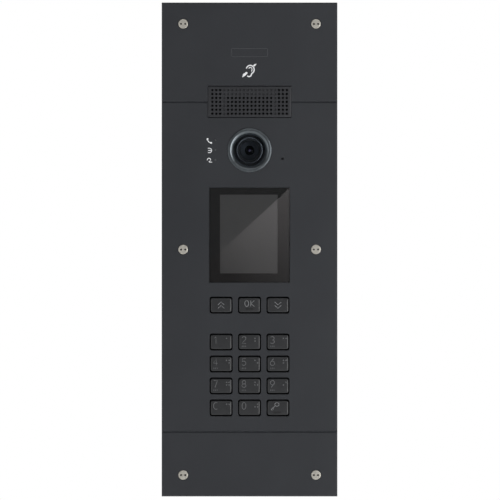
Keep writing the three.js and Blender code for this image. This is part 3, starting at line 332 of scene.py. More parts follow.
cream = surface("trimmer_plastic", (206, 200, 184), (222, 217, 203), (0.4, 0.55), 0.3, 0.008, cloud=1)
acrylic = surface("light_guide", (96, 98, 100), (110, 112, 114), (0.12, 0.25), 0.3, 0.003, cloud=1)
ring_metal = turned_metal("ring_metal", (102, 108, 112), (115, 121, 125), (0.28, 0.4))
rim_metal = turned_metal("rim_metal", (92, 95, 100), (108, 111, 116), (0.2, 0.3), 0.8)
barrel_black = surface("barrel_black", (16, 16, 18), (22, 22, 24), (0.5, 0.65), 0.2, 0.004, cloud=2)
screw_steel = surface(
    "screw_steel", (196, 192, 182), (208, 204, 194), (0.3, 0.45), 0.3, 0.01, metallic=0.45, cloud=2,
)
# The insides of the spanner holes are darker than the head as painted shade in the recess.
recess_painted_shade = surface(
    "recess_painted_shade", (70, 68, 64), (86, 84, 79), (0.5, 0.65), 0.3, 0.01, metallic=0.6, cloud=1,
)
# Dark metal for the knock-outs' score rings: a cut edge, and partly painted shade of the grooves.
cut_edge_and_groove_shade = surface("cut_edge_and_groove_shade", (44, 45, 47), (60, 61, 63), (0.5, 0.7), 0.4, 0.01, metallic=0.6)
coil_copper = banded("coil_copper", (186, 108, 56), (120, 62, 30), (0.3, 0.45), 0.4, "Y", 0.9)
ribbon = banded("ribbon_cable", (216, 212, 200), (178, 174, 164), (0.4, 0.55), 1.0, "X")
board = circuit("circuit_board")
zinc = galvanised("galvanised_sheet")
display_pane = pane("display_pane", (0.94, 0.94, 0.94), 1.5, 0.006)
camera_pane = pane("camera_pane", (0.84, 0.86, 0.88), 1.12, 0.02)
lcd = unlit_display("lcd_glass")
lens_black = coated_lens("lens_black", (5, 5, 7), (8, 8, 11), 0.15)
# The inner element's purple is a painted glint, the reflection of its coating.
lens_purple_painted_glint = coated_lens("lens_purple_painted_glint", (70, 44, 96), (96, 62, 122), 0.9)

NODE_MATERIALS = {
    "faceplate": coat, "wall_box": zinc, "rear_housing": housing_black, "keypad_mat": silicone,
    "wall_gasket": rubber, "housing_seal": rubber, "cable_grommet": rubber, "microphone_boot": rubber,
    "grille_membrane": foam, "speaker_gasket": foam, "speaker_frame": dull_metal, "speaker_cone": cone_paper,
    "speaker_magnet": dull_metal, "microphone_capsule": dull_metal, "hearing_loop_coil": coil_copper,
    "camera_housing": black, "camera_sensor_board": board, "front_board": board, "main_board": board,
    "status_light_guide": acrylic, "display_glass": display_pane, "display_mask": mask_black,
    "lcd_panel": lcd, "lcd_backlight_tray": black, "ribbon_cable": ribbon, "bus_terminal_block": terminal,
    "lock_terminal_block": terminal, "speaker_volume_trimmer": cream, "microphone_volume_trimmer": cream,
    "camera_window": camera_pane, "camera_lens_barrel": black, "camera_front_lens": lens_black,
    "camera_ring": ring_metal, "speaker_grille": grille_black,
}


for name, node in nodes.items():
    material = NODE_MATERIALS.get(name)
    if material is None:
        material = key_plastic if name.startswith("key_") else screw_steel
    for slot in node.material_slots:
        slot.material = material


def soften(node, width):
    """Rounds a CAD node's sharp edges, as a casting's or a pressing's are."""
    piece = nodes[node]
    bevel = piece.modifiers.new("soft_edges", "BEVEL")
    bevel.width = width
    bevel.segments = 2
    bevel.limit_method = "ANGLE"
    bevel.angle_limit = math.radians(35)
    bevel.use_clamp_overlap = True
    weighted = piece.modifiers.new("flat_shading", "WEIGHTED_NORMAL")
    weighted.mode = "FACE_AREA"
    weighted.keep_sharp = True
    piece.data.shade_smooth()


soften("faceplate", 0.3 * MM)
soften("wall_box", 0.12 * MM)
soften("rear_housing", 0.3 * MM)
for name in ("display_glass", "lcd_backlight_tray", "bus_terminal_block", "lock_terminal_block"):
    soften(name, 0.15 * MM)


# ---------------------------------------------------------------- mesh building

def mesh_piece(name, mesh_builder, material, body=PANEL, smooth=35):
    """A new piece whose mesh mesh_builder fills, riding on body, in place."""
    data = bpy.data.meshes.new(name)
    work = bmesh.new()
    mesh_builder(work)
    bmesh.ops.recalc_face_normals(work, faces=work.faces)
    work.to_mesh(data)
    work.free()
    piece = bpy.data.objects.new(name, data)
    bpy.context.scene.collection.objects.link(piece)
    data.materials.append(material)
    for face in data.polygons:
        face.use_smooth = True
    with bpy.context.temp_override(object=piece, active_object=piece, selected_editable_objects=[piece]):
        data.set_sharp_from_angle(angle=math.radians(smooth))
    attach(piece, body)
    return piece


def curve_piece(name, strokes, radius, material, body=PANEL, closed=False):
    """Round strokes along lists of (x, y, z) points."""
    data = bpy.data.curves.new(name, "CURVE")
    data.dimensions = "3D"
    data.bevel_depth = radius
    data.bevel_resolution = 2
    data.use_fill_caps = True
    for points in strokes:
        spline = data.splines.new("POLY")
        spline.points.add(len(points) - 1)
        for point, place in zip(spline.points, points):
            point.co = (*place, 1)
        spline.use_cyclic_u = closed
    data.materials.append(material)
    piece = bpy.data.objects.new(name, data)
    bpy.context.scene.collection.objects.link(piece)
    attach(piece, body)
    return piece


def circle(radius, sides, x=0.0, z=0.0):
    """Points round a circle, counter-clockwise as (x, z)."""
    turn = 2 * math.pi / sides
    return [(x + radius * math.cos(turn * i), z + radius * math.sin(turn * i)) for i in range(sides)]


def loop_at(work, points, y):
    return [work.verts.new((x, y, z)) for x, z in points]


def skin(work, a, b):
    """Joins two loops of as many vertices by a band of faces."""
    for i in range(len(a)):
        j = (i + 1) % len(a)
        work.faces.new((a[i], a[j], b[j], b[i]))


def lathe(profile, centre, sides, closed=False):
    """A mesh builder that turns [radius, y] pairs about an axis along Y through centre."""
    def build(work):
        rings = []
        for radius, y in profile:
            points = circle(radius, sides, centre.x, centre.z) if radius > 0 else [(centre.x, centre.z)]
            rings.append(loop_at(work, points, y))
        pairs = list(zip(rings, rings[1:]))
        if closed:
            pairs.append((rings[-1], rings[0]))
        for a, b in pairs:
            if len(a) == len(b):
                skin(work, a, b)
                continue
            tip, rim = (a[0], b) if len(a) == 1 else (b[0], a)
            for i in range(sides):
                work.faces.new((tip, rim[i], rim[(i + 1) % sides]))
    return build


def fill_round_holes(work, loops, holes, radius, sides):
    """Fills the flat face between loops, and leaves open the round holes whose centres are (x, z) places."""
    edges = [work.edges.get((ring[i - 1], ring[i])) for ring in loops for i in range(len(ring))]
    filled = bmesh.ops.triangle_fill(work, edges=edges, use_beauty=True, use_dissolve=False)["geom"]
    reach = radius * math.cos(math.pi / sides)
    plugs = []
    for face in (f for f in filled if isinstance(f, bmesh.types.BMFace)):
        middle = face.calc_center_median()
        if min(math.hypot(middle.x - x, middle.z - z) for x, z in holes) < reach:
            plugs.append(face)
    bmesh.ops.delete(work, geom=plugs, context="FACES_ONLY")


def rounded_outline(width, height, corner, steps=6):
    """Points round a rectangle with rounded corners, counter-clockwise as (x, z)."""
    points = []
    corner = max(corner, 1e-5)
    for number, (sx, sz) in enumerate(((1, -1), (1, 1), (-1, 1), (-1, -1))):
        cx, cz = sx * (width / 2 - corner), sz * (height / 2 - corner)
        start = -math.pi / 2 + number * math.pi / 2
        for i in range(steps + 1):
            angle = start + (math.pi / 2) * i / steps
            points.append((cx + corner * math.cos(angle), cz + corner * math.sin(angle)))
    return points


def stacked(levels, centre):
    """A mesh builder that joins outlines, each (points, y or a function of x, z), and closes both ends."""
    def build(work):
        loops = []
        for points, y in levels:
            loop = []
            for x, z in points:
                depth = y(x, z) if callable(y) else y
                loop.append(work.verts.new((centre.x + x, depth, centre.z + z)))
            loops.append(loop)
        for a, b in zip(loops, loops[1:]):
            skin(work, a, b)
        work.faces.new(loops[0])
        work.faces.new(loops[-1])
    return build


# ---------------------------------------------------------------- keys

KEY_SIDE_GAP = 0.95 * MM
KEY_END_GAP = 1.35 * MM
KEY_FLANGE = 1.1 * MM
# How far each step of a cap's edge is in from its side, and down from its crown.
KEY_EDGE_PROFILE = [
    (0.0, 0.75 * MM), (0.08 * MM, 0.55 * MM), (0.25 * MM, 0.38 * MM), (0.6 * MM, 0.2 * MM),
    (1.0 * MM, 0.03 * MM), (1.15 * MM, 0.0),
]
CROWN_INSETS = (1.5, 2.2, 3.2, 4.6, 5.8)  # the loops that carry the crown, in mm from the cap's side
KEY_CROWN = 0.22 * MM
CAP_CORNER = 1.7 * MM
FLANGE_THICK = 1.25 * MM


def build_key(name):
    centre = centre_of(name)
    flange = size_of(name)
    width = flange.x - 2 * KEY_FLANGE - 2 * KEY_SIDE_GAP
    height = flange.z - 2 * KEY_FLANGE - 2 * KEY_END_GAP
    flange_front = KEY_BACK - FLANGE_THICK

    def crown(x, z):
        share = (2 * x / width) ** 2 + (2 * z / height) ** 2
        return KEY_FRONT + KEY_CROWN * min(share, 1.6) * 0.6

    def outline(inset):
        return rounded_outline(width - 2 * inset, height - 2 * inset, CAP_CORNER - min(inset, 1.3 * MM))

    flange_outline = rounded_outline(flange.x, flange.z, 1.2 * MM)
    levels = [
        (flange_outline, KEY_BACK),
        (flange_outline, flange_front),
        (outline(0), flange_front),
        (outline(0), KEY_FRONT + 1.2 * MM),
    ]
    for inset, drop in KEY_EDGE_PROFILE:
        levels.append((outline(inset), lambda x, z, drop=drop: crown(x, z) + drop))
    for inset in CROWN_INSETS:
        levels.append((outline(inset * MM), crown))
    piece = mesh_piece(name + "_cap", stacked(levels, centre), key_plastic, name + "_body", 50)
    # The flange and skirt, seen only through the gap round the cap, take the painted gap shade.
    piece.data.materials.append(skirt_painted_shade)
    for face in piece.data.polygons:
        face.material_index = 1 if face.center.y > flange_front - 0.1 * MM else 0
    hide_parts(name)
    return centre, crown


def arc(cx, cz, rx, rz, start, end, steps=14):
    """Points along an arc, in degrees anticlockwise from +X."""
    angles = [math.radians(start + (end - start) * i / steps) for i in range(steps + 1)]
    return [(cx + rx * math.cos(a), cz + rz * math.sin(a)) for a in angles]


def moved(points, x, z, scale=MM):
    return [(x + px * scale, z + pz * scale) for px, pz in points]


# Strokes of each legend in a box one unit wide and 1.6 high, about its centre.
W, H = 0.5, 0.8
GLYPHS = {
    "0": [arc(0, 0, W * 0.9, H, 0, 360, 28)],
    "1": [[(-0.22, 0.42), (0.12, H), (0.12, -H)]],
    "2": [arc(0, 0.38, W * 0.9, 0.42, 165, -35) + [(-W * 0.9, -H), (W * 0.95, -H)]],
    "3": [arc(-0.05, 0.4, 0.45, 0.4, 140, -90) + arc(-0.05, -0.4, 0.5, 0.4, 90, -140)],
    "4": [[(0.2, -H), (0.2, H), (-W, -0.3), (W, -0.3)]],
    "5": [[(0.42, H), (-0.34, H), (-0.4, 0.1)] + arc(-0.05, -0.3, 0.5, 0.5, 125, -140)],
    "6": [[(0.25, H)] + arc(0, -0.3, 0.48, 0.5, 165, 525, 24)],
    "7": [[(-W * 0.9, H), (W * 0.9, H), (-0.12, -H)]],
    "8": [arc(0, 0.4, 0.4, 0.4, 0, 360, 20), arc(0, -0.4, 0.47, 0.4, 0, 360, 20)],
    "9": [[(-0.25, -H)] + arc(0, 0.3, 0.48, 0.5, -15, 345, 24)],
    "c": [arc(0.1, 0, 0.55, H, 55, 305, 20)],
}
# Dots of each digit in a cell of two columns and three rows, counted down the left column and then the right.
BRAILLE = {
    "1": (1,), "2": (1, 2), "3": (1, 4), "4": (1, 4, 5), "5": (1, 5), "6": (1, 2, 4),
    "7": (1, 2, 4, 5), "8": (1, 2, 5), "9": (2, 4), "0": (2, 4, 5), "c": (1, 4),
}
LEGEND_RADIUS = 0.36 * MM
DIGIT_WIDTH = 3.9 * MM
DIGIT_X, DIGIT_Z = -5.1 * MM, 1.9 * MM
DOT_PITCH = 2.4 * MM
DOT_RADIUS = 0.62 * MM
DOT_HEIGHT = 0.3 * MM
CELL_X, CELL_Z = 4.9 * MM, 3.4 * MM
TICK_PITCH, TICK_Z = 1.5 * MM, -3.9 * MM
TICK_SIZE = (0.5 * MM, 0.16 * MM, 1.3 * MM)


def legend_strokes(glyph):
    if glyph in GLYPHS:
        return [moved(stroke, DIGIT_X, DIGIT_Z, DIGIT_WIDTH) for stroke in GLYPHS[glyph]]
    if glyph in ("up", "down"):
        turn = 1 if glyph == "up" else -1
        reach, rise, step = 2.9 * MM, 2.7 * MM, 3.1 * MM
        strokes = []
        for base in (-step / 2, step / 2):
            low, high = turn * (base - rise / 2), turn * (base + rise / 2)
            strokes.append([(-reach, low), (0, high), (reach, low)])
        return strokes
    if glyph == "ok":
        o = arc(-2.6, 1.5, 1.75, 2.7, 0, 360, 28)
        strokes = [o, [(1.1, -1.2), (1.1, 4.2)], [(4.3, 4.2), (1.2, 1.4), (4.4, -1.2)]]
    else:
        bow = arc(-1.0, 3.2, 1.9, 1.6, 0, 360, 24)
        shaft = [(-2.3, 2.1), (-6.4, -1.5)]
        strokes = [bow, shaft, [(-4.9, -0.2), (-3.9, -1.3)], [(-6.1, -1.2), (-5.1, -2.3)]]
    return [moved(stroke, 0, 0) for stroke in strokes]


def letter_ticks(work, centre, crown):
    """Three short bars under a digit, in place of its small letters."""
    for i in range(3):
        x, z = DIGIT_X + (i - 1) * TICK_PITCH, TICK_Z
        tick = bmesh.ops.create_cube(work, size=1.0)["verts"]
        bmesh.ops.scale(work, vec=TICK_SIZE, verts=tick)
        bmesh.ops.translate(work, vec=(centre.x + x, crown(x, z), centre.z + z), verts=tick)


def dots(work, glyph, centre, crown):
    for dot in BRAILLE[glyph]:
        x = CELL_X + DOT_PITCH * ((dot - 1) // 3)
        z = CELL_Z - DOT_PITCH * ((dot - 1) % 3)
        ball = bmesh.ops.create_uvsphere(work, u_segments=12, v_segments=8, radius=DOT_RADIUS)["verts"]
        bmesh.ops.scale(work, vec=(1, DOT_HEIGHT / DOT_RADIUS, 1), verts=ball)
        bmesh.ops.translate(work, vec=(centre.x + x, crown(x, z) + 0.02 * MM, centre.z + z), verts=ball)


for name, glyph in KEY_GLYPHS.items():
    key_centre, key_crown = build_key(name)
    lines = [
        [(key_centre.x + x, key_crown(x, z) + 0.12 * MM, key_centre.z + z) for x, z in stroke]
        for stroke in legend_strokes(glyph)
    ]
    ink = digit_grey if glyph in BRAILLE else legend_grey
    curve_piece(name + "_legend", lines, LEGEND_RADIUS, ink, name + "_body")
    if glyph in BRAILLE:
        def relief(work, glyph=glyph, centre=key_centre, crown=key_crown):
            dots(work, glyph, centre, crown)
            if glyph in "23456789":
                letter_ticks(work, centre, crown)
        mesh_piece(name + "_braille", relief, ink, name + "_body", 60)
    # A raised bar under the legend, coloured dark as its painted shadow.
    if glyph in ("ok", "key"):
        bar_x, bar_z = (0, -3.5 * MM) if glyph == "ok" else (-0.6 * MM, -4.2 * MM)
        bar_centre = key_centre + Vector((bar_x, 0, bar_z))
        top = key_crown(bar_x, bar_z) - 0.2 * MM
        foot = rounded_outline(6.8 * MM, 1.5 * MM, 0.5 * MM, 3)
        bar_levels = [
            (foot, top + 0.6 * MM),
            (foot, top + 0.08 * MM),
            (rounded_outline(6.6 * MM, 1.3 * MM, 0.4 * MM, 3), top),
        ]
        mesh_piece(name + "_bar", stacked(bar_levels, bar_centre), bar_painted_shadow, name + "_body")


# ---------------------------------------------------------------- keypad mat

MAT_THICK = 1.25 * MM
DOME_RADIUS, DOME_FOOT, DOME_BORE = 4.5 * MM, 6 * MM, 3 * MM
DOME_TOP = 1.5 * MM
DOME_SIDES = 32
mat_low, mat_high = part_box("keypad_mat")
mat_front = mat_high.y - MAT_THICK
key_places = [(centre_of(name).x, centre_of(name).z) for name in KEY_GLYPHS]


def build_mat(work):
    """The flat sheet, with a hole to the board behind each dome."""
    middle = (mat_low + mat_high) / 2
    size = mat_high - mat_low
    outline = [(middle.x + x, middle.z + z) for x, z in rounded_outline(size.x, size.z, 2 * MM)]
    outlines = [outline] + [circle(DOME_BORE, DOME_SIDES, x, z) for x, z in key_places]
    fronts = [loop_at(work, points, mat_front) for points in outlines]
    backs = [loop_at(work, points, mat_high.y) for points in outlines]
    for front, back in zip(fronts, backs):
        skin(work, front, back)
    for loops in (fronts, backs):
        fill_round_holes(work, loops, key_places, DOME_BORE, DOME_SIDES)


mat = mesh_piece("keypad_mat_sheet", build_mat, silicone)
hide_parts("keypad_mat")
dome_profile = [
    (0, mat_low.y + 0.12 * MM), (2.2 * MM, mat_low.y + 0.05 * MM), (DOME_RADIUS - 0.5 * MM, mat_low.y),
    (DOME_RADIUS - 0.1 * MM, mat_low.y + 0.15 * MM), (DOME_RADIUS, mat_low.y + 0.5 * MM),
    (DOME_RADIUS + 0.1 * MM, mat_front - 1.4 * MM), (DOME_FOOT - 0.3 * MM, mat_front - 0.2 * MM),
    (DOME_FOOT, mat_front), (DOME_BORE, mat_front), (DOME_BORE, mat_low.y + DOME_TOP),
    (0, mat_low.y + DOME_TOP),
]
for name in KEY_GLYPHS:
    place = centre_of(name)
    dome = mesh_piece(name + "_dome", lathe(dome_profile, place, DOME_SIDES), silicone)
    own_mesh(dome)


# ---------------------------------------------------------------- speaker grille

COLUMNS, ROWS, PITCH, HOLE = 20, 7, 3.57 * MM, 1.05 * MM
HOLE_SIDES = 16
SKIN, BLIND_DEPTH = 2 * MM, 0.9 * MM
# Holes are blind in the two columns over the ribs, and between those in the top rows, over the bar.
RIBBED = (3, 16)
BARRED_ROWS = 2
GRILLE_FLANGE, GRILLE_FLANGE_THICK = 3 * MM, 1.5 * MM
GRILLE_WALL = 2 * MM
GRILLE_SIDE_EDGE = 0.8 * MM
GRILLE_END_EDGE = 1.1 * MM
GRILLE_SIDE_LET = 0.3 * MM
CORNERS = ((-1, -1), (1, -1), (1, 1), (-1, 1))


def build_grille(work):
    low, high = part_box("speaker_grille")
    width, height = high.x - low.x - 2 * GRILLE_FLANGE, high.z - low.z - 2 * GRILLE_FLANGE
    front, back = low.y, high.y
    skin_back = front + SKIN
    cx, cz = grille_centre.x, grille_centre.z
    half = PITCH / 2
    side = width / 2 + GRILLE_SIDE_LET
    verts = {}

    def vert(x, y, z):
        key = (round(x * 1e7), round(y * 1e7), round(z * 1e7))
        if key not in verts:
            verts[key] = work.verts.new((cx + x, y, cz + z))
        return verts[key]

    def square(x0, y, z0):
        """The outline of a hole's square, with a point at each of the hole's angles."""
        points = []
        for x, z in circle(1.0, HOLE_SIDES):
            reach = half / max(abs(x), abs(z))
            points.append((x0 + reach * x, y, z0 + reach * z))
        return points

    def join_loops(a, b):
        for i in range(len(a)):
            j = (i + 1) % len(a)
            quad = [vert(*a[i]), vert(*a[j]), vert(*b[j]), vert(*b[i])]
            if len(set(quad)) == 4:
                work.faces.new(quad)

    for column in range(COLUMNS):
        for row in range(ROWS):
            x0 = (column - (COLUMNS - 1) / 2) * PITCH
            z0 = ((ROWS - 1) / 2 - row) * PITCH
            blind = column in RIBBED or (RIBBED[0] < column < RIBBED[1] and row < BARRED_ROWS)
            floor = front + (BLIND_DEPTH if blind else SKIN)
            loops = [square(x0, front, z0)]
            for radius, y in ((HOLE + 0.15 * MM, front), (HOLE, front + 0.15 * MM), (HOLE, floor)):
                loops.append([(x, y, z) for x, z in circle(radius, HOLE_SIDES, x0, z0)])
            if not blind:
                loops.append(square(x0, skin_back, z0))
            for a, b in zip(loops, loops[1:]):
                join_loops(a, b)
            if blind:
                work.faces.new([vert(*p) for p in loops[-1]])
                work.faces.new([vert(x0 + sx * half, skin_back, z0 + sz * half) for sx, sz in CORNERS])
    # The rim outside the field of holes, stepped down and back in rings of squares.
    field_x, field_z = COLUMNS * half, ROWS * half
    flange_x, flange_z = width / 2 + GRILLE_FLANGE, height / 2 + GRILLE_FLANGE
    flange_front = back - GRILLE_FLANGE_THICK
    well_x, well_z = width / 2 - GRILLE_WALL, height / 2 - GRILLE_WALL
    rings = [
        (field_x, field_z, front), (side - GRILLE_SIDE_EDGE, height / 2 - GRILLE_END_EDGE, front),
        (side - 0.1 * MM, height / 2 - 0.35 * MM, front + 0.35 * MM), (side, height / 2, front + 0.9 * MM),
        (side, height / 2, flange_front), (flange_x, flange_z, flange_front), (flange_x, flange_z, back),
        (well_x, well_z, back), (well_x, well_z, skin_back), (field_x, field_z, skin_back),
    ]
    for a, b in zip(rings, rings[1:]):
        join_loops(*([(sx * x, y, sz * z) for sx, sz in CORNERS] for x, z, y in (a, b)))


grille = mesh_piece("speaker_grille_skin", build_grille, grille_black, smooth=30)
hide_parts("speaker_grille")


# ---------------------------------------------------------------- camera

SIDES, PUPIL_SIDES, GLINT_SIDES = 96, 48, 32
RING, CREST, BORE = 20 * MM, 17.7 * MM, 15.6 * MM  # the ring's outside, its proudest line, and its inside
LEDGE = BORE - 1.2 * MM
PANE = BORE - 0.25 * MM
ring_low, ring_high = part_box("camera_ring")
window_low, window_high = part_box("camera_window")
barrel_front, barrel_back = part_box("camera_lens_barrel")[0].y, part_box("camera_lens_barrel")[1].y
lens_low, lens_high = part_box("camera_front_lens")


def turned(name, start, profile, material, sides=SIDES, closed=True):
    """A piece turned about the camera's axis. Its profile is (radius, y) pairs in mm, y from start."""
    metres = [(radius * MM, start + y * MM) for radius, y in profile]
    return mesh_piece(name, lathe(metres, camera_centre, sides, closed), material)


def in_mm(length):
    return length / MM


ledge_y = in_mm(window_high.y - FRONT) + 0.25
crest_y, foot_y = in_mm(ring_low.y - FRONT), in_mm(ring_high.y - FRONT)
ledge, crest, bore, rim = in_mm(LEDGE), in_mm(CREST), in_mm(BORE), in_mm(RING)
ring = turned("camera_ring_turned", FRONT, [
    (ledge, foot_y), (ledge, ledge_y), (bore, ledge_y), (bore, 0.2), (bore, 0.1), (bore + 0.1, -0.02),
    (crest - 0.2, crest_y + 0.05), (crest, crest_y), (rim - 0.5, crest_y + 0.14),
    (rim - 0.15, crest_y + 0.32), (rim, crest_y + 0.55), (rim, 0.2), (rim, foot_y - 1.5),
    (rim + 2.5, foot_y - 1.5), (rim + 2.5, foot_y),
], ring_metal)
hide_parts("camera_ring")

pane_radius, pane_back = in_mm(PANE), in_mm(window_high.y - window_low.y)
window = turned("camera_window_pane", window_low.y, [
    (0, 0), (pane_radius - 0.4, 0), (pane_radius - 0.1, 0.1), (pane_radius, 0.4),
    (pane_radius, pane_back - 0.2), (pane_radius - 0.2, pane_back), (0, pane_back),
], camera_pane, closed=False)
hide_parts("camera_window")

barrel_depth = in_mm(barrel_back - barrel_front)
barrel = turned("camera_barrel_turned", barrel_front, [
    (8.2, barrel_depth), (8.0, 7), (12, 6.7), (12, 0.35), (11.9, 0.1), (11.6, 0), (11.3, 0.1), (11.2, 0.35),
    (11.1, 0.9), (9.6, 1.1), (9.3, 2.4), (4.6, 3.3), (4.5, barrel_depth),
], barrel_black)
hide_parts("camera_lens_barrel")
turned("camera_iris", barrel_front, [
    (8.1, 2.5), (7.9, 2.35), (4.7, 3.1), (4.5, 3.25), (4.5, 3.6), (8.1, 2.9),
], black)

LENS_RADIUS, LENS_SAG = 9, 1.4  # mm
lens_depth = in_mm(lens_high.y - lens_low.y)
lens_face = [(LENS_RADIUS * i / 10, LENS_SAG * (i / 10) ** 2) for i in range(11)]
lens_rest = [(LENS_RADIUS, lens_depth - 1.6), (4.8, lens_depth - 1.0), (0, lens_depth - 1.0)]
lens_profile = lens_face + lens_rest
lens = turned("camera_lens_dome", lens_low.y, lens_profile, camera_pane, closed=False)
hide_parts("camera_front_lens")

turned("camera_barrel_rim", barrel_front, [
    (10.5, 1.0), (10.7, 0.45), (11.1, 0.12), (11.5, -0.1), (11.8, 0), (11.9, 0.5), (11.9, 1.3), (10.5, 1.3),
], rim_metal)
PUPIL_Y = 5.2
pupil = [(0, 0), (1.1, 0.05), (4.3, 0.7), (4.3, 1.4), (0, 1.4)]
glint = [(0, -0.75), (0.7, -0.6), (1.15, -0.2), (1.15, -0.05), (0, -0.05)]
pupil_y = barrel_front + PUPIL_Y * MM
turned("camera_inner_lens", pupil_y, pupil, lens_black, PUPIL_SIDES, False)
# The small inner element, coloured purple as a painted glint.
turned("camera_inner_element", pupil_y, glint, lens_purple_painted_glint, GLINT_SIDES, False)


# ---------------------------------------------------------------- security screws

HEAD, SHANK = 4.35 * MM, 2.5 * MM
HEAD_THICK = 2.4 * MM
SPANNER_X, SPANNER_RADIUS, SPANNER_DEPTH = 1.9 * MM, 0.85 * MM, 1.9 * MM
SPANNER_LIP = 0.1 * MM


def build_screw(centre, back):
    """A headed screw, whose front face is filled between its rim and its two spanner holes."""
    sides, hole_sides = 48, 16
    mouth_radius = SPANNER_RADIUS + SPANNER_LIP
    levels = [
        (SHANK, back), (SHANK, FRONT + HEAD_THICK), (HEAD, FRONT + HEAD_THICK), (HEAD, FRONT + 0.45 * MM),
        (HEAD - 0.12 * MM, FRONT + 0.16 * MM), (HEAD - 0.4 * MM, FRONT + 0.03 * MM), (HEAD - 0.7 * MM, FRONT),
    ]
    holes = [(centre.x + side * SPANNER_X, centre.z) for side in (-1, 1)]

    def build(work):
        rings = [loop_at(work, circle(radius, sides, centre.x, centre.z), y) for radius, y in levels]
        for a, b in zip(rings, rings[1:]):
            skin(work, a, b)
        work.faces.new(rings[0])
        mouths = []
        for x, z in holes:
            mouth = loop_at(work, circle(mouth_radius, hole_sides, x, z), FRONT)
            lip = loop_at(work, circle(SPANNER_RADIUS, hole_sides, x, z), FRONT + SPANNER_LIP)
            floor = loop_at(work, circle(SPANNER_RADIUS, hole_sides, x, z), FRONT + SPANNER_DEPTH)
            skin(work, mouth, lip)
            skin(work, lip, floor)
            work.faces.new(floor)
            mouths.append(mouth)
        fill_round_holes(work, [rings[-1], *mouths], holes, mouth_radius, hole_sides)
    return build


for name in sorted(n for n in nodes if n.startswith("security_screw")):
    centre = centre_of(name)
    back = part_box(name)[1].y
    piece = mesh_piece(name + "_turned", build_screw(centre, back), screw_steel, smooth=30)
    # The faces inside the spanner holes take the painted recess shade.
    piece.data.materials.append(recess_painted_shade)
    for face in piece.data.polygons:
        x, y, z = face.center
        off = min(math.hypot(x - centre.x - side * SPANNER_X, z - centre.z) for side in (-1, 1))
        deep = FRONT + 0.05 * MM < y < FRONT + SPANNER_DEPTH + 0.1 * MM
        face.material_index = int(deep and off < SPANNER_RADIUS + 0.02 * MM)
    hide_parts(name)


# ---------------------------------------------------------------- print on the faceplate

PRINT = FRONT - 0.01 * MM
PRINT_THICK = 0.06 * MM


def print_piece(name, outlines, material):
    """Flat printed shapes: each outline is a list of (x, z) points in metres, filled and a little raised."""
    def build(work):
        for points in outlines:
            front = loop_at(work, points, PRINT - PRINT_THICK)
            back = loop_at(work, points, PRINT + 0.02 * MM)
            work.faces.new(front)
            work.faces.new(back)
            skin(work, front, back)
    return mesh_piece(name, build, material, smooth=30)


def ribbon_outline(points, widths):
    """The outline of a stroke along points, with a width at each."""
    left, right = [], []
    for i, (x, z) in enumerate(points):
        ax, az = points[max(i - 1, 0)]
        bx, bz = points[min(i + 1, len(points) - 1)]
        length = math.hypot(bx - ax, bz - az)
        nx, nz = -(bz - az) / length, (bx - ax) / length
        half = widths[i] / 2
        left.append((x + nx * half, z + nz * half))
        right.append((x - nx * half, z - nz * half))
    return left + right[::-1]


def even(points, width):
    return ribbon_outline(points, [width] * len(points))


EAR_Z = 162.9 * MM
ear_lobe = [(2.0, -2.6), (1.6, -3.8)] + arc(-0.4, -3.9, 1.9, 1.5, 10, -150, 10)
ear_outer = arc(0.6, 0.9, 3.6, 3.9, 165, -40, 20) + ear_lobe
ear_inner = arc(0.7, 1.0, 1.6, 1.9, 150, -60, 12)
ear_shapes = [
    even(moved(ear_outer, 0, EAR_Z), 1.15 * MM),
    even(moved(ear_inner, 0, EAR_Z), 0.75 * MM),
    moved([(-6.6, -6.2), (-6.0, -3.2), (-2.8, -0.9), (-1.6, -2.3), (-4.3, -4.9)], 0, EAR_Z),
    moved([(2.6, 4.2), (4.4, 5.9), (6.5, 6.2), (5.2, 4.3), (3.7, 3.4)], 0, EAR_Z),
]
print_piece("hearing_symbol", ear_shapes, print_white)

ICON_X, TALK_X = -36.2 * MM, -36.6 * MM
CALL_Z, TALK_Z, DOOR_Z = 99.2 * MM, 90.2 * MM, 81.3 * MM
SYMBOL = 0.87 * MM  # one unit of the three symbols
WIDE, NARROW = 0.7 * MM, 0.65 * MM


def tapered(points, ends, middle):
    """A stroke with smooth wide ends and a narrow middle, as a handset has."""
    last = len(points) - 1
    widths = []
    for i in range(len(points)):
        nearness = abs(2 * i / last - 1)
        swell = max(0.0, min(1.0, (nearness - 0.35) / 0.3))
        tip = math.sqrt(max(0.0, 1 - max(0.0, (nearness - 0.86) / 0.14) ** 2)) if nearness > 0.86 else 1.0
        widths.append((middle + (ends - middle) * swell * swell * (3 - 2 * swell)) * max(tip, 0.35))
    return ribbon_outline(points, widths)


handset = moved(arc(1.9, 1.9, 4.3, 4.3, 172, 278, 36), ICON_X, CALL_Z, SYMBOL)
print_piece("call_symbol", [tapered(handset, 1.5 * MM, 0.75 * MM)], print_white)
talk = [(-1.5, 2.25)] + arc(0.3, 0, 2.1, 2.25, 90, -90, 20) + [(-1.5, -2.25)]
print_piece("talk_symbol", [
    even(moved(talk, TALK_X, TALK_Z, SYMBOL), WIDE),
    even(moved([(-1.3, 0.0), (1.95, 0.0)], TALK_X, TALK_Z, SYMBOL), NARROW),
], print_white)
print_piece("door_symbol", [
    even(moved(arc(-0.9, 0.5, 1.65, 1.6, 200, -30, 24), ICON_X, DOOR_Z, SYMBOL), WIDE),
    even(moved([(0.35, -0.75), (-1.05, -1.95)], ICON_X, DOOR_Z, SYMBOL), WIDE),
    even(moved([(-0.7, -2.05), (2.5, -2.05)], ICON_X, DOOR_Z, SYMBOL), NARROW),
], print_white)

NAME_Z = 179.4 * MM
name_line = [(x, FRONT, NAME_Z + z) for x, z in rounded_outline(33 * MM, 7.4 * MM, 1.2 * MM, 5)]
curve_piece("blank_name_outline", [name_line], 0.16 * MM, outline_grey, closed=True)


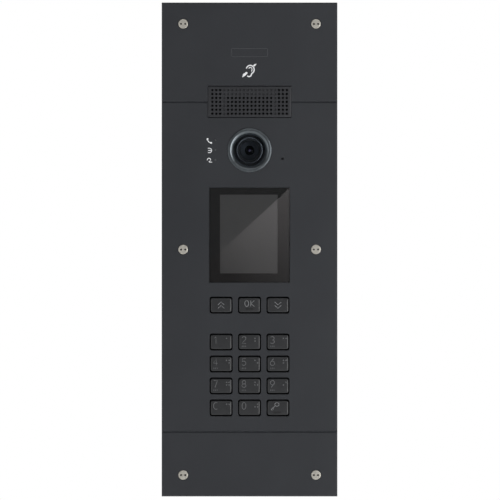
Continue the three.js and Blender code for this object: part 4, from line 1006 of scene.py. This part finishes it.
# ---------------------------------------------------------------- wall box details

ANCHOR_REACH = 6 * MM  # how far the anchors stand out past the box's sides
box_low, box_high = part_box("wall_box")
BOX_HALF_WIDTH = box_high.x - ANCHOR_REACH
SCORE_RADIUS, SCORE_LINE, SCORE_DEPTH = 10.5 * MM, 0.28 * MM, 0.5 * MM
KNOCKOUT_Z, MIDDLE_Y = 147 * MM, 25 * MM


def score_circle(x, y, z, across):
    """A circle of the knock-out's radius, facing along Y, or along Z where across is true."""
    return [
        (x + px, y + pz, z) if across else (x + px, y, z + pz)
        for px, pz in circle(SCORE_RADIUS, 48)
    ]


# Dark rings in the score grooves' floors: cut edges, and painted shade of the grooves.
back_y = box_high.y - SCORE_DEPTH
back_rings = [score_circle(0, back_y, z, False) for z in (KNOCKOUT_Z, 0, -KNOCKOUT_Z)]
curve_piece("knockout_groove_shade_back", back_rings, SCORE_LINE, cut_edge_and_groove_shade, closed=True)
end_rings = [
    score_circle(x, MIDDLE_Y, z, True)
    for x in (-BOX_HALF_WIDTH / 2, BOX_HALF_WIDTH / 2)
    for z in (box_high.z - SCORE_DEPTH, box_low.z + SCORE_DEPTH)
]
curve_piece("knockout_groove_shade_ends", end_rings, SCORE_LINE, cut_edge_and_groove_shade, closed=True)


# ---------------------------------------------------------------- stage, light and camera

SHOT_DISTANCE = 2.530
camera_data = bpy.data.cameras.new("shot")
camera_data.sensor_width = 36
camera_data.lens = 200
shot = bpy.data.objects.new("shot", camera_data)
bpy.context.scene.collection.objects.link(shot)
shot.location = (0.42 * MM, FRONT - SHOT_DISTANCE, -0.47 * MM)
shot.rotation_euler = (math.pi / 2, 0, 0)
bpy.context.scene.camera = shot


def stage_plane(name, size, material):
    """A square that reaches size to each side of its middle, and isn't part of the object."""
    data = bpy.data.meshes.new(name)
    work = bmesh.new()
    bmesh.ops.create_grid(work, x_segments=1, y_segments=1, size=size)
    work.to_mesh(data)
    work.free()
    data.materials.append(material)
    plane = bpy.data.objects.new(name, data)
    bpy.context.scene.collection.objects.link(plane)
    return plane


floor_white = surface("pale_floor", (225, 225, 224), (232, 232, 231), (0.7, 0.85), 2, 0.05, cloud=300)
floor = stage_plane("floor", 3.4, floor_white)
floor.location = (0, 0, -0.62)

# Each lamp's place, the point that it faces, its width, height and watts.
LAMPS = {
    "overhead": ((0.1, -1.6, 1.5), (0, 0, 0), 1.4, 0.8, 5),
    "right_strip": ((0.9, -0.95, -0.1), (0, 0, 0), 0.45, 1.3, 10.2),
    "left_strip": ((-1.5, -1.5, -0.1), (0, 0, 0), 0.6, 1.6, 6),
    "rear_right": ((1.4, 2.0, 1.1), (0, 0, 0), 1.6, 1.6, 14),
    "rear_top": ((0.2, 2.2, 1.7), (0, 0.3, -0.5), 2.4, 1.4, 55),
}
for name, (place, target, width, height, watts) in LAMPS.items():
    lamp = bpy.data.lights.new(name, "AREA")
    lamp.shape = "RECTANGLE"
    lamp.size, lamp.size_y = width, height
    lamp.energy = watts
    light = bpy.data.objects.new(name, lamp)
    light.location = place
    light.rotation_euler = (Vector(target) - Vector(place)).to_track_quat("-Z", "Y").to_euler()
    bpy.context.scene.collection.objects.link(light)

# A card behind the camera, whose edge the display's glass mirrors as the line across it.
CARD_BACK = 3.3  # how far in front of the plate the card stands
CARD_REACH = 0.25
CARD_SHIFT = 0.08
mirror = 1 + CARD_BACK / SHOT_DISTANCE
corner = Vector((36.5 * MM * mirror, 56.5 * MM * mirror))
along = Vector((-62.8, -57.9)).normalized()
inward = Vector((-along.y, along.x))
middle = corner + along * CARD_SHIFT + inward * CARD_REACH


def card_material():
    """A softly lit white card, brighter towards its upper right."""
    graph = material_graph("reflector_card")
    axes = graph.add("ShaderNodeSeparateXYZ", {"Vector": graph.place}).outputs
    along_edge = graph.spread(axes["X"], 0.2, 1.0, -0.14, 0.08)
    inwards = graph.spread(axes["Y"], 0.7, 1.0, 0.05, 0.25)
    colour = graph.mix(graph.noise(20 * MM, 3), (1, 0.96, 0.97, 1), (1, 0.95, 0.96, 1))
    strength = graph.math("MULTIPLY", along_edge, inwards)
    return graph.end(graph.add("ShaderNodeEmission", {"Color": colour, "Strength": strength}))


card = stage_plane("reflector_card", CARD_REACH, card_material())
card.matrix_world = Matrix((
    (-along.x, -inward.x, 0, middle.x),
    (0, 0, 1, FRONT - CARD_BACK),
    (-along.y, -inward.y, 0, middle.y),
    (0, 0, 0, 1),
))

# A white background for the camera. The object is lit by a dimmer one, brighter low down and behind.
world = bpy.data.worlds.new("studio")
bpy.context.scene.world = world
sky = Graph(world, "ShaderNodeOutputWorld")
axes = sky.add("ShaderNodeSeparateXYZ", {"Vector": sky.coordinates["Generated"]}).outputs
low = sky.spread(axes["Z"], 0.2, 0.05, 0.1, 0.6)
behind = sky.spread(axes["Y"], 0.0, 0.8, 0.1, 0.5)
strength = sky.math("ADD", low, behind)
seen = sky.add("ShaderNodeBackground", {"Color": (1, 1, 1, 1), "Strength": 1.0}).outputs[0]
fill = sky.add("ShaderNodeBackground", {"Color": (0.97, 0.98, 1, 1), "Strength": strength}).outputs[0]
from_camera = sky.add("ShaderNodeLightPath").outputs["Is Camera Ray"]
sky.end(sky.add("ShaderNodeMixShader", {0: from_camera, 1: fill, 2: seen}))

bpy.context.scene.view_settings.view_transform = "Standard"
bpy.context.scene.view_settings.look = "None"
